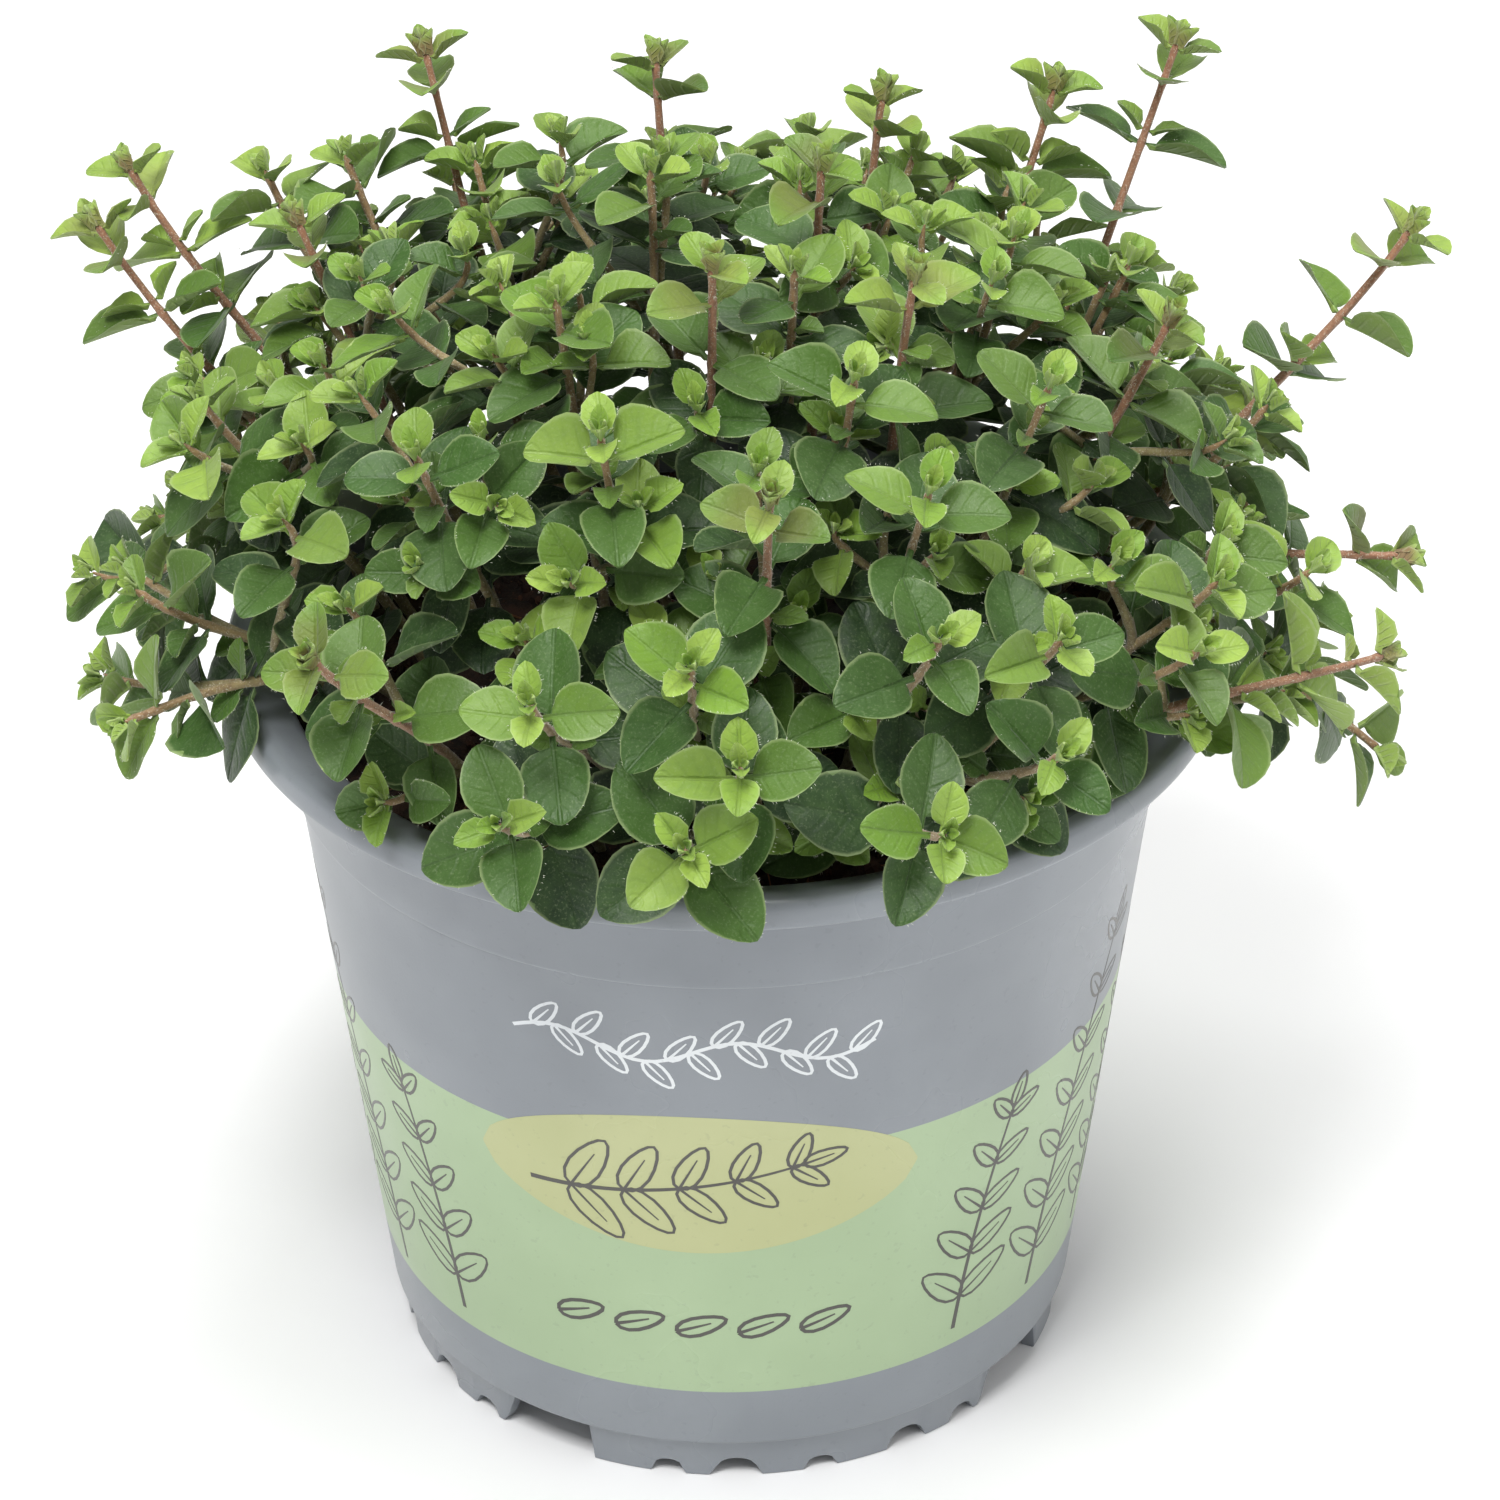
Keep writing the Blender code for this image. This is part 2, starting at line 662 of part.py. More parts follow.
def lay_out():
    """The whole plant as a list of stems, each with its route, leaf pairs and leaves."""
    draw = random.Random(SEED)
    tips = shoot_tips(draw)
    roots = spread_roots(tips, draw)
    routes = route_stems(tips, roots, draw)
    crowd = Crowd()
    crowd.add(*pot_guard())
    stems = []
    for owner, ((_, kind), points) in enumerate(zip(tips, routes)):
        route = Route(points, draw.uniform(0, math.pi))
        for start in range(0, len(points) - 1, 4):
            crowd.add(*tube(points[start : start + 5], STEM_HALF_WIDTH), owner)
        nodes = leaf_nodes(route, kind, owner, draw)
        stems.append({"kind": kind, "route": route, "nodes": nodes, "leaves": {}})
    grow_leaves(stems, crowd, draw)
    return stems


# Solids of the stems


def node_height(length):
    """Height of the band of stem that a leaf of this length grows out of."""
    return LOW_BAND if length < MIDDLE_LEAF else HIGH_BAND


def ring_distances(stem):
    """Distances of a stem's rings: two for each leaf pair, and between them one every RING_SPACING."""
    marks = [(0.0, None), (HOLE_LENGTH, None)]
    for number, (distance, length, _) in enumerate(stem["nodes"]):
        half = node_height(length) / 2
        low, high = distance - half, distance + half
        gap = low - marks[-1][0]
        steps = int(gap / RING_SPACING)
        start = marks[-1][0]
        marks += [(start + gap * step / (steps + 1), None) for step in range(1, steps + 1)]
        marks += [(low, number), (high, None)]
    marks.append((stem["route"].length, None))
    return marks


def add_leaf(leaf, corners, points, faces):
    """Grows a leaf out of a stem face. corners are the face's lower right, upper right, upper left and
    lower left, seen from outside."""
    low_right, high_right, high_left, low_left = corners
    half = LEAF_THICKNESS / 2
    top, bottom = [high_right], [low_right]
    for along, across in leaf.outline():
        top.append(len(points))
        points.append(leaf.point(along, across, half))
        bottom.append(len(points))
        points.append(leaf.point(along, across, -half))
    top.append(high_left)
    bottom.append(low_left)
    for i in range(len(top) - 1):
        faces.append((bottom[i], bottom[i + 1], top[i + 1]))
        faces.append((bottom[i], top[i + 1], top[i]))
    for side, above in ((top, half), (bottom, -half)):
        if leaf.length < SMALL_LEAF:
            faces.append((side[0], side[1], side[3]))
            faces.append((side[0], side[3], side[4]))
            faces.append((side[1], side[2], side[3]))
            continue
        rib = len(points)
        points.append(leaf.point(MIDRIB_POINT, 0.0, above))
        for i in range(len(side)):
            faces.append((side[i], side[(i + 1) % len(side)], rib))


def build_stem(name, stem, finish):
    """One leafy stem as a single closed solid."""
    route = stem["route"]
    points, faces, before = [], [], None
    marks = ring_distances(stem)
    for index, (distance, _) in enumerate(marks):
        centre, tangent, side = route.at(distance)
        other = tangent.cross(side)
        half = route.half_width(distance)
        ring = []
        for a, b in SQUARE:
            ring.append(len(points))
            points.append(centre + half * (a * side + b * other))
        if before is None:
            faces.append(tuple(ring))
        else:
            number = marks[index - 1][1]
            for face in range(4):
                a, b = face, (face + 1) % 4
                leaf = stem["leaves"].get((number, face))
                if leaf is None:
                    faces.append((before[a], before[b], ring[b], ring[a]))
                    continue
                corners = (before[a], ring[a], ring[b], before[b])
                if (points[ring[a]] - points[ring[b]]).dot(leaf.across) < 0:
                    corners = (before[b], ring[b], ring[a], before[a])
                add_leaf(leaf, corners, points, faces)
        before = ring
    faces.append(tuple(before))
    return add_object(name, points, faces, finish)


# Soil


def build_soil(stems, finish):
    """The soil that fills the pot, with a plain square hole for each stem."""
    base = BASE_HEIGHT + FLOOR + GAP
    edge = SOIL_TOP - SOIL_EDGE_DROP
    profile = [
        (0.0, base),
        (inner_radius(base) - 2 * GAP, base),
        (inner_radius(edge) - 2 * GAP, edge),
        (inner_radius(edge) - SOIL_EDGE_WIDTH, SOIL_TOP),
        (0.0, SOIL_TOP),
    ]
    angles = [2 * math.pi * side / SOIL_SIDES for side in range(SOIL_SIDES)]
    soil = add_object("soil", *turned(profile, angles), finish)
    holes = bpy.data.collections.new("stem_holes")
    bpy.context.scene.collection.children.link(holes)
    for number, stem in enumerate(stems, 1):
        root, _, _ = stem["route"].at(0.0)
        reach = STEM_HALF_WIDTH + GAP
        points = []
        for distance in (-GAP, HOLE_LENGTH):
            centre, tangent, side = stem["route"].at(max(0.0, distance))
            if distance < 0:
                centre = centre + tangent * distance
            other = tangent.cross(side)
            points += [centre + reach * (a * side + b * other) for a, b in SQUARE]
        faces = [(0, 1, 2, 3), (4, 5, 6, 7)]
        faces += [(k, (k + 1) % 4, 4 + (k + 1) % 4, 4 + k) for k in range(4)]
        cutter = add_object(f"hole_cutter_{number:02d}", points, faces, finish)
        bpy.context.scene.collection.objects.unlink(cutter)
        holes.objects.link(cutter)
        hide_cutter(cutter)
    cut = soil.modifiers.new("stem_holes", "BOOLEAN")
    cut.operation = "DIFFERENCE"
    cut.operand_type = "COLLECTION"
    cut.collection = holes
    return soil


def smooth_round(made):
    made.data.shade_smooth()
    made.data.set_sharp_from_angle(angle=math.radians(35))


def centre_on_origin(made):
    """Moves every object alike, so that the middle of the whole object's box lies over the origin."""
    corners = [corner for part in made for corner in (Vector(point) for point in part.bound_box)]
    low = Vector((min(corner.x for corner in corners), min(corner.y for corner in corners), 0.0))
    high = Vector((max(corner.x for corner in corners), max(corner.y for corner in corners), 0.0))
    for part in bpy.data.objects:
        part.location -= (low + high) / 2


def main():
    for old in list(bpy.data.objects):
        bpy.data.objects.remove(old)
    plastic = material("grey_plastic", (0.32, 0.33, 0.36), 0.45)
    earth = material("potting_soil", (0.07, 0.035, 0.022), 0.95)
    pot = build_pot(plastic)
    smooth_round(pot)
    stems = lay_out()
    soil = build_soil(stems, earth)
    made = [pot, soil]
    for number, stem in enumerate(stems, 1):
        finish = material(f"leaf_{number:02d}", LEAF_COLOURS[stem["kind"]], 0.6)
        made.append(build_stem(f"{stem['kind']}_{number:02d}", stem, finish))
    centre_on_origin(made)


main()
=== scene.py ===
"""The looks of an oregano plant in a printed grey nursery pot.

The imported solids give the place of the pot, the soil and every leafy stem. This script lays the plant out
by the same rule as they were made by, so that each finer stem and leaf grows where its solid stands, and
adds what the solids leave out: inner leaves, side shoots, buds, veins, hairs, the printed pot and loose
soil. Lengths are in metres. The layout is worked out round the pot's own axis and then moved to where the
pot is.
"""

import json
import math
import random

import bpy
import numpy as np
from mathutils import Matrix, Quaternion, Vector, noise
from mathutils.bvhtree import BVHTree

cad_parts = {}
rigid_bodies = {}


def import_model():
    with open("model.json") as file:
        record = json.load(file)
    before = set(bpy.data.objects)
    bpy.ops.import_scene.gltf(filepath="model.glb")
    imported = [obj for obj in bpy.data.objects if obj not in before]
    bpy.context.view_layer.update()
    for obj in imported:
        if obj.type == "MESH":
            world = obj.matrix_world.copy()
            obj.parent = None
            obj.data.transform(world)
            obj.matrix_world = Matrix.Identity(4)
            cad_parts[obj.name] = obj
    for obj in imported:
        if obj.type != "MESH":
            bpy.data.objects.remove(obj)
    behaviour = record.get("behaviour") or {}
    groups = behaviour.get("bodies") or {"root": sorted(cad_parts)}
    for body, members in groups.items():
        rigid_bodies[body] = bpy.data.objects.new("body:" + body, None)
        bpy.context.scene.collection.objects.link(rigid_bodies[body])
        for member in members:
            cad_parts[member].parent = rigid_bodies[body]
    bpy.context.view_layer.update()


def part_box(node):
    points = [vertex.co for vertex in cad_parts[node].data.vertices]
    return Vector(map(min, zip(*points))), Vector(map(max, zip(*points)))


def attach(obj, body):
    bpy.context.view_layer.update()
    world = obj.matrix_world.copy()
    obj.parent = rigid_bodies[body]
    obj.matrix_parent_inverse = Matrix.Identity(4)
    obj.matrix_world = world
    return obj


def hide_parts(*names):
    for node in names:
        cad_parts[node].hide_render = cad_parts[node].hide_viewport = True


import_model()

SEED = 41
UP = Vector((0.0, 0.0, 1.0))
POT_LOW, POT_HIGH = (Vector(corner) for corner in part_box("pot"))
POT_AXIS = Vector(((POT_LOW.x + POT_HIGH.x) / 2, (POT_LOW.y + POT_HIGH.y) / 2, 0.0))

# Pot, as in its solid
LIP_RADIUS = 0.065
POT_HEIGHT = 0.1044
LIP_HEIGHT = 0.0039
LIP_TOP_WIDTH = 0.0018
COLLAR_RADIUS = 0.0586
COLLAR_FOOT_RADIUS = 0.0570
STEP_HEIGHT = 0.0866
STEP_RADIUS = 0.0563
BASE_RADIUS = 0.0466
BASE_HEIGHT = 0.0065
FOOT_RADIUS = 0.0455
WALL = 0.0011
WALL_SLACK = 0.0004
FLOOR = 0.0016
# The floor's underside lies a little lower than the foot of the wall
UNDER_FLOOR = BASE_HEIGHT - 0.0004

# Soil, as in its solid
SOIL_TOP = 0.0972
HOLE_DEPTH = 0.007
GAP = 0.0003
GUARD_SIDES = 60

# Dome of shoot tips, over the middle of the pot at the height of its rim
DOME_RADIUS = 0.080
DOME_RISE = 0.063
DOME_CENTRE = Vector((0.0, 0.0, 0.102))
ROSETTE_REACH = 1.02
SPIRE_REACH = 1.10

# Where the photograph was taken from, and its frame in pixels
CAMERA_PLACE = Vector((0.0, -0.6646, 0.5091))
CAMERA_PITCH = math.radians(32.52)
CAMERA_YAW = math.radians(0.27)
CAMERA_ROLL = math.radians(-0.40)
FOCAL_PIXELS = 6000.0
FRAME_PIXELS = 1500.0
SENSOR_WIDTH = 36.0
FRAME_MIDDLE = (750.0, 750.0)

# Shoot tips that the photograph shows, in pixels of its frame, by the kind of shoot
ROSETTES_IN_PHOTO = (
    (475, 160), (345, 155), (265, 170), (650, 170), (795, 270), (1015, 235), (1130, 262), (1050, 385),
    (855, 378), (600, 435), (555, 300), (415, 455), (930, 490), (1062, 640), (1218, 582), (1200, 650),
    (1312, 570), (1060, 755), (945, 835), (740, 768), (685, 850), (500, 825), (135, 590), (125, 722),
    (690, 668), (1268, 405), (1382, 752), (198, 398), (530, 705), (940, 640),
)
SPIRES_IN_PHOTO = (
    (128, 165), (95, 222), (425, 50), (655, 58), (822, 165), (882, 95), (1055, 85), (1178, 40),
    (1412, 228), (297, 220), (712, 265), (915, 275), (1170, 320), (770, 500), (1402, 556), (1385, 655),
    (312, 660),
)
# The long stem at the lower right swings out over the front of the rim
SWUNG_SHOOT = (1385, 655)
SWING = Vector((-0.004, -0.034, -0.004))
REAR_SHOOTS = 9
REAR_SPACING = 0.030
REAR_TURN = (15, 165)
REAR_RISE = (0.05, 0.75)
REAR_REACH = (0.96, 1.06)
SPACING_SHRINK = 0.998

# Stems
STEM_HALF_WIDTH = 0.00080
STEM_TIP_HALF_WIDTH = 0.00045
STEM_CLEARANCE = 0.0026
ROOT_SHARE = 0.50
ROOT_LIMIT = 0.047
ROOT_SPACING = 0.0078
ROOT_JITTER = 0.003
ROOT_PASSES = 200
ROOT_PUSH = 0.3
# A stem's curve: how far it keeps its first and last direction, and how much those lean out and rise
ROOT_PULL = 0.42
ROOT_LEAN = 0.30
TIP_PULL = 0.34
TIP_LIFT = 0.55
STEM_TRIES = 14
SWAY_STEP = 0.0012
LIFT_STEP = 0.002
LIFT_LIMIT = 0.03
RIM_CLEARANCE = 0.0035
RIM_INSIDE = 0.004
RIM_OUTSIDE = 0.003

# Leaf pairs, from the tip down: distance below the tip, leaf length, and pitch in degrees
ROSETTE_PAIRS = (
    (0.0012, 0.0058, 54), (0.0046, 0.0098, 38), (0.0105, 0.0136, 22), (0.0185, 0.0152, 10),
    (0.0280, 0.0150, 2),
)
SPIRE_PAIRS = (
    (0.0012, 0.0060, 50), (0.0054, 0.0088, 38), (0.0135, 0.0115, 24), (0.0225, 0.0140, 12),
)
BRANCH_PAIRS = (
    (0.0010, 0.0056, 60), (0.0040, 0.0092, 42), (0.0095, 0.0122, 24), (0.0170, 0.0138, 10),
)
LEAF_WIDTH_SHARE = 0.73
LEAF_THICKNESS = 0.0006
# Leaves turn their upper faces to the light: from above, from outside and a little from the front
LIGHT_PULL = 0.48
LIGHT_SPREAD = 0.70
LIGHT_LEAN = Vector((0.0, -0.30, 0.0))
LEAF_CLEARANCE = 0.0003
LEAF_TRIES = 40
# The share of its length from which a leaf keeps clear of others, and of its own stem's leaves
SHELL_START = 0.14
OWN_SHELL_START = 0.30
# How far a leaf may turn, tilt and roll out of its place in degrees, and how much it shrinks with each try
LEAF_TURN = 34
LEAF_TILT = 26
LEAF_ROLL = 30
LEAF_SHRINK = 0.018
# What differs from leaf to leaf: size, width, how far the blade curls down and folds up
SIZE_SPREAD = (0.90, 1.10)
WIDTH_SPREAD = (0.92, 1.10)
CURL_SPREAD = (0.02, 0.20)
FOLD_SPREAD = (-0.10, 0.28)
# After so many tries a leaf curls less
FLATTER_AFTER = 20
FLATTER_SHARE = 0.3
PAIR_GROWTH = (0.90, 1.10)
PAIR_SIZE = (0.94, 1.08)
MIDRIB_POINT = 0.5
SMALL_LEAF = 0.0060
MIDDLE_LEAF = 0.0104
# Outlines of the solids' leaves in shares of length and half width
MIDDLE_OUTLINE = ((0.46, 1.0), (1.0, 0.0), (0.46, -1.0))
LARGE_OUTLINE = ((0.27, 0.82), (0.66, 0.93), (1.0, 0.0), (0.66, -0.93), (0.27, -0.82))
LEAF_FOOT_WIDTH = 0.30

# What only the finer plant has
INNER_SPACING = 0.0085
INNER_LEAF = 0.0125
INNER_SIZE = (0.8, 1.1)
INNER_PITCH = (-5, 25)
BRANCHES = 172
GOLDEN_TURN = math.pi * (3 - math.sqrt(5))
BRANCH_RISE = (0.05, 0.98)
BRANCH_REACH = (0.85, 1.04)
# Side shoots stay further in at the front, and few grow low at its left, where the soil shows: where their
# direction from the dome's middle lies below all three of these
FRONT_SHORTER = 0.24
BARE_CORNER = (-0.1, -0.20, 0.44)
BARE_SHARE = 0.97
# The shares of a stem's length that a side shoot can start from, and what a turn costs it in length
BRANCH_STARTS = (0.30, 0.42, 0.54, 0.66)
BRANCH_TURN_COST = 0.020
BRANCH_SHORTEST = 0.010
BRANCH_OVER_SOIL = 0.003
BRANCH_OVER_RIM = 0.004
BRANCH_ROOT_PULL = 0.22
BRANCH_TIP_PULL = 0.33
BRANCH_TIP_LIFT = 0.5
BRANCH_TRIES = 10
BRANCH_SWAY_STEP = 0.0008
BRANCH_POINTS = 13
BRANCH_LOWEST_PAIR = 0.0035
BRANCH_PAIR_SIZE = (0.92, 1.08)
# The share of each stem, from the soil up, that has no leaves of its own
BARE_STEM = 0.32
BRANCH_HALF_WIDTH = 0.00065
BRANCH_TIP_HALF_WIDTH = 0.00040
AXIL_SHARE = 0.55
AXIL_LEAF = (0.0042, 0.0068)
AXIL_ABOVE = 0.0017
AXIL_PITCH = 56
AXIL_KEY = 100
AXIL_RANK = 2
AXIL_AGE = 0.30
SPIRE_AGE = 0.42
AGE_DRIFT = 0.10
# How old the leaves of each pair look, from the tip down. The oldest, lowest pairs sit deepest in the
# foliage and take the darkest greens, which are partly painted shade
AGE_BY_RANK = (0.05, 0.28, 0.58, 0.84, 0.95)
# Leaf pairs at the very tip: height above it, length and pitch in degrees
ROSETTE_TUFT = ((0.0004, 0.0034, 56), (0.0009, 0.0021, 72))
SPIRE_TUFT = ((-0.0008, 0.0040, 76), (-0.0002, 0.0038, 80), (0.0006, 0.0024, 84))
TUFT_TURN = 0.2
TUFT_TILT = 6
TUFT_SIZE = (0.9, 1.12)
TUFT_WIDTH_SHARE = 0.62
TUFT_FOLD = 0.1
TUFT_SINK = 0.0004
TUFT_OUT = 0.0003
TUFT_AGE = 0.08
# Red on the young leaves of spires, and on the leaves at their very tips
BUD_BLUSH = (0.0, 0.3)
TIP_BLUSH = (0.35, 0.8)
STEM_BLUSH = {"rosette": 0.45, "branch": 0.45, "spire": 1.0}
# How old a stem looks at its foot and at its tip
STEM_AGES = (0.9, 0.1)
# How hollow and how curled the leaves at a tip are
ROSETTE_TUFT_FORM = (0.5, -0.05)
SPIRE_TUFT_FORM = (0.9, 0.16)
# How much older or younger a whole stem looks, and its side shoots beside it
FLUSH = (-0.12, 0.12)
BRANCH_FLUSH = (-0.05, 0.10)

# Leaf form
MATURE_LEAF = 0.014
FINE_LEAF = 0.0085
# Edges of leaves and stems that turn by more degrees than this are drawn sharp
SHARP_ANGLE = 58.0
STALK_SHARE = 0.13
STALK_HALF_WIDTH = 0.00042
STALK_LIMIT = 0.10
BLADE_THICKNESS = 0.00034
EGG_BASE, EGG_TIP, EGG_SCALE = 0.50, 0.66, 2.210
RIB_HALF_WIDTH = 0.00034
RIB_DEPTH = 0.00018
RIB_FADE = 0.4
RIDGE_DEPTH = 1.6 * RIB_DEPTH
VEIN_SWEEP = 0.30
VEIN_BEND = 1.3
VEIN_SPACING = 0.22
VEIN_RELIEF = 0.00010
WAVE = 0.00026
WAVES = (1.0, 2.0)
FOOT_SWELL = 1.1
FOOT_SWELL_FADE = 6
SWEEP = 0.06
MORE_FOLD = 0.22
# How hollow the young and the old leaves are across
YOUNG_CUP = (0.15, 0.75)
OLD_CUP = (-0.40, 0.45)
# Leaves longer than this are drawn a little shorter than in the solids
SHORT_LEAF = 0.0095
OLD_SHORTER = 0.26
TWIST = 0.30
NODE_REACH = 0.0011
NODE_SWELL = 1.22
NODE_EDGE_SWELL = 1.02
STEM_END_SHARE = 0.35
STEM_STEPS = 12
STEM_SOFTNESS = 0.62
RING_SPACING = 0.0005
SKIN_SHARE = 0.90

# Hairs: their lengths, how many grow on a metre of stem or round a leaf, and from where on
HAIR_RADIUS = 0.00003
STEM_HAIR = (0.0003, 0.0008)
STEM_HAIR_SINK = 0.95
STEM_HAIR_SLANT = 0.5
STEM_HAIR_DROOP = 0.15
RIM_HAIR = (0.0002, 0.00042)
RIM_HAIR_SINK = 0.985
RIM_HAIR_PLACE = (0.02, 0.99)
RIM_HAIR_AHEAD = (-0.1, 0.9)
RIM_HAIR_ABOVE = (-0.4, 0.4)
RIM_HAIRS = 16
HAIRY_LEAF = 0.0045
BRANCH_HAIRS = 1700
TOP_HAIRS = 3000
LOW_HAIRS = 700
BRANCH_HAIR_START = 0.2
TOP_HAIR_START = 0.45

# The finer pot: its foot ring's arches and gap in degrees round from the front, and its drains
POT_SIDES = 360
SHARP_POT_ANGLE = 40.0
FOOT_START = -24.0
# Arches: middle, half width, and height in metres
ARCHES = (
    (-11.0, 3.0, 0.0022), (0.6, 3.9, 0.0029), (15.0, 2.9, 0.0019), (31.0, 3.6, 0.0028), (43.0, 2.8, 0.0020),
)
ARCH_POWER = 2.4
GAP_MIDDLE = 58.5
GAP_HALF = 11.0
GAP_HEIGHT = 0.0058
GAP_STEEPNESS = 4.0
DRAIN_RADIUS = 0.0040
DRAIN_RING = 0.0300
DRAIN_TURN = 0.55
DRAINS = 6
DRAIN_SIDES = 24
DRAIN_CUT = (BASE_HEIGHT - 0.003, BASE_HEIGHT + 0.004)
# Corners of the outline: how far they stand in from the nearest radius or height
FOOT_SETBACK = 0.0010
FOOT_TOE_SETBACK = 0.0012
FOOT_TAPER = 0.0004
SMALL_STEP = 0.0002
COLLAR_TOP_DROP = 0.0006
LIP_CHEEK = 0.0012
LIP_TOP_OUTSIDE = 0.0005
LIP_TOP_INSIDE = 0.0010
LIP_INSIDE_DROP = 0.0021
# How softly those corners are rounded, from the floor to the printed band and from there over the lip
LOW_SOFTNESS = (0.0, 0.0003, 0.0003, 0.0003, 0.0, 0.0, 0.0006, 0.0)
HIGH_SOFTNESS = (0.0, 0.0002, 0.0005, 0.0012, 0.0006, 0.0010, 0.0014, 0.0010, 0.0016, 0.0014, 0.0)
SOFT_STEPS = 4
# No rounding takes up more than this share of the way to the next corner
SOFT_LIMIT = 0.45

# The print on the pot
BAND_LOW = 0.0162
BAND_HIGH = 0.0585
PRINT_RADIUS = 0.0515
INK_DEPTH = 0.00003
STROKE = 0.00042
PANEL_MIDDLE = -0.0045
PANEL_HEIGHT = 0.0530
PANEL_LENGTH = 0.058
PANEL_WIDTH = 0.0235
PANEL_STEPS = 40
PANEL_END_WIDTH = 0.02
PANEL_FULLNESS = 0.55
# The twig on the panel: where it starts from the panel's middle, its angle, length, leaf pairs and leaves
PANEL_TWIG_FOOT = (-0.022, -0.003)
PANEL_TWIG_WAY = 0.05
PANEL_TWIG_LENGTH = 0.036
PANEL_TWIG_PAIRS = 5
PANEL_TWIG_LEAF = 0.0095
GARLAND_HEIGHT = 0.0755
GARLAND_LENGTH = 0.044
GARLAND_WAVE = 0.0018
GARLAND_STEPS = 32
GARLAND_STROKE = 1.3 * STROKE
GARLAND_LEAF = 0.0052
GARLAND_LEAF_WAY = 0.9
LEAF_ROW_HEIGHT = 0.0270
LEAF_ROW_START = -0.0030
LEAF_ROW_SPACING = 0.0085
LEAF_ROW_STROKE = STROKE * 1.4
LEAF_ROW_LEAF = 0.0072
LEAF_ROW_WAY = 0.35
# Drawn leaves and twigs: how far leaves spread from the twig, their half width, and how ribs and twigs run
DRAWN_SPREAD = 0.95
DRAWN_HALF_WIDTH = 0.21
# Widest at the foot, narrower by that much at the tip
DRAWN_TAPER = (1.25, 0.5)
DRAWN_STEPS = 14
RIB_SHARES = (0.0, 0.18, 0.35, 0.52, 0.70)
RIB_THINNING = 0.15
TWIG_STEPS = 24
TWIG_STROKE = (1.7, 0.9)
TWIG_LEAF = (1.15, 0.55)
TWIG_FIRST_PAIR = 0.8
TWIG_BOW = 0.12
TWIG_END_LEAF = 0.6
BORDER_LEAF = 0.0086
BORDER_LEAN = (0.08, 0.02)
# Border twigs: distance from the panel's middle, foot height, length, leaf pairs and bend
BORDER_TWIGS = (
    (0.038, 0.019, 0.036, 5, 0.10), (0.054, 0.018, 0.054, 7, 0.12), (0.070, 0.019, 0.042, 6, 0.06),
)

# Soil
SOIL_SIDES = 144
SOIL_RINGS = 60
SOIL_RING_POWER = 1.1
SOIL_SHOULDER = 0.004
SOIL_SHOULDER_SETBACK = 0.0004
SOIL_GRAIN = 210.0
SOIL_ROUGHNESS = 0.0011
# The surface falls away near the wall
SOIL_EDGE = 0.85
SOIL_EDGE_SLOPE = 0.012
CRUMBS = 1500
CRUMB_SIZE = 0.00058
CRUMB_SPREAD = 0.45
CRUMB_LIMIT = 0.0016
CRUMB_STRETCH = ((0.7, 1.6), (0.6, 1.0), (0.45, 0.9))
CRUMB_UNEVENNESS = (0.8, 1.15)
SHARP_CRUMB_ANGLE = 50.0
# Crumbs and fibres keep off the wall, and lie closer together the smaller this power is towards the rim
CRUMB_MARGIN = 0.001
FIBRE_MARGIN = 0.003
TOWARDS_RIM = 0.35
FIBRES = 220
FIBRE_STEPS = 6
FIBRE_LENGTH = (0.003, 0.009)
FIBRE_HALF_WIDTH = (0.00007, 0.00016)
# The share of a fibre's length that lies before its place, and how far it is lifted out of the soil
FIBRE_START = 0.3
FIBRE_LIFT = 0.0003
FIBRE_BEND = 0.4
FIBRE_TONE = (1.5, 2.0)
CRUMB_POINTS = (
    (1, 0, 0), (0, 1, 0), (0, 0, 1), (-1, 0, 0), (0, -1, 0), (0, 0, -1),
    (0.6, 0.6, 0.6), (-0.6, 0.6, 0.6), (-0.6, -0.6, 0.6), (0.6, -0.6, 0.6),
    (0.6, 0.6, -0.6), (-0.6, 0.6, -0.6), (-0.6, -0.6, -0.6), (0.6, -0.6, -0.6),
)
CRUMB_FACES = (
    (0, 6, 2, 9), (1, 7, 2, 6), (3, 8, 2, 7), (4, 9, 2, 8), (0, 13, 5, 10), (1, 10, 5, 11), (3, 11, 5, 12),
    (4, 12, 5, 13), (0, 10, 1, 6), (1, 11, 3, 7), (3, 12, 4, 8), (4, 13, 0, 9),
)

# Colours of the pot's plastic and inks, each a lighter and a deeper tone of red, green and blue
PLASTIC_TONES = (137, 142, 148), (129, 134, 140)
GREEN_TONES = (166, 187, 150), (159, 180, 143)
YELLOW_TONES = (183, 187, 140), (177, 181, 132)
WHITE_TONES = (224, 228, 230), (214, 218, 222)
DARK_TONES = (84, 82, 78), (74, 72, 68)
SCUFF = (96, 98, 100)

# Colours of the plant and the soil
YOUNG_GREENS = (150, 176, 76), (116, 152, 48)
GROWN_GREENS = (72, 103, 38), (52, 86, 27)
# The old leaves' greens are darker than their own colour: partly painted shade for the depths of the
# foliage
OLD_AND_SHADED_GREENS = (37, 62, 30), (24, 46, 21)
MOTTLE_GREEN = (84, 116, 58)
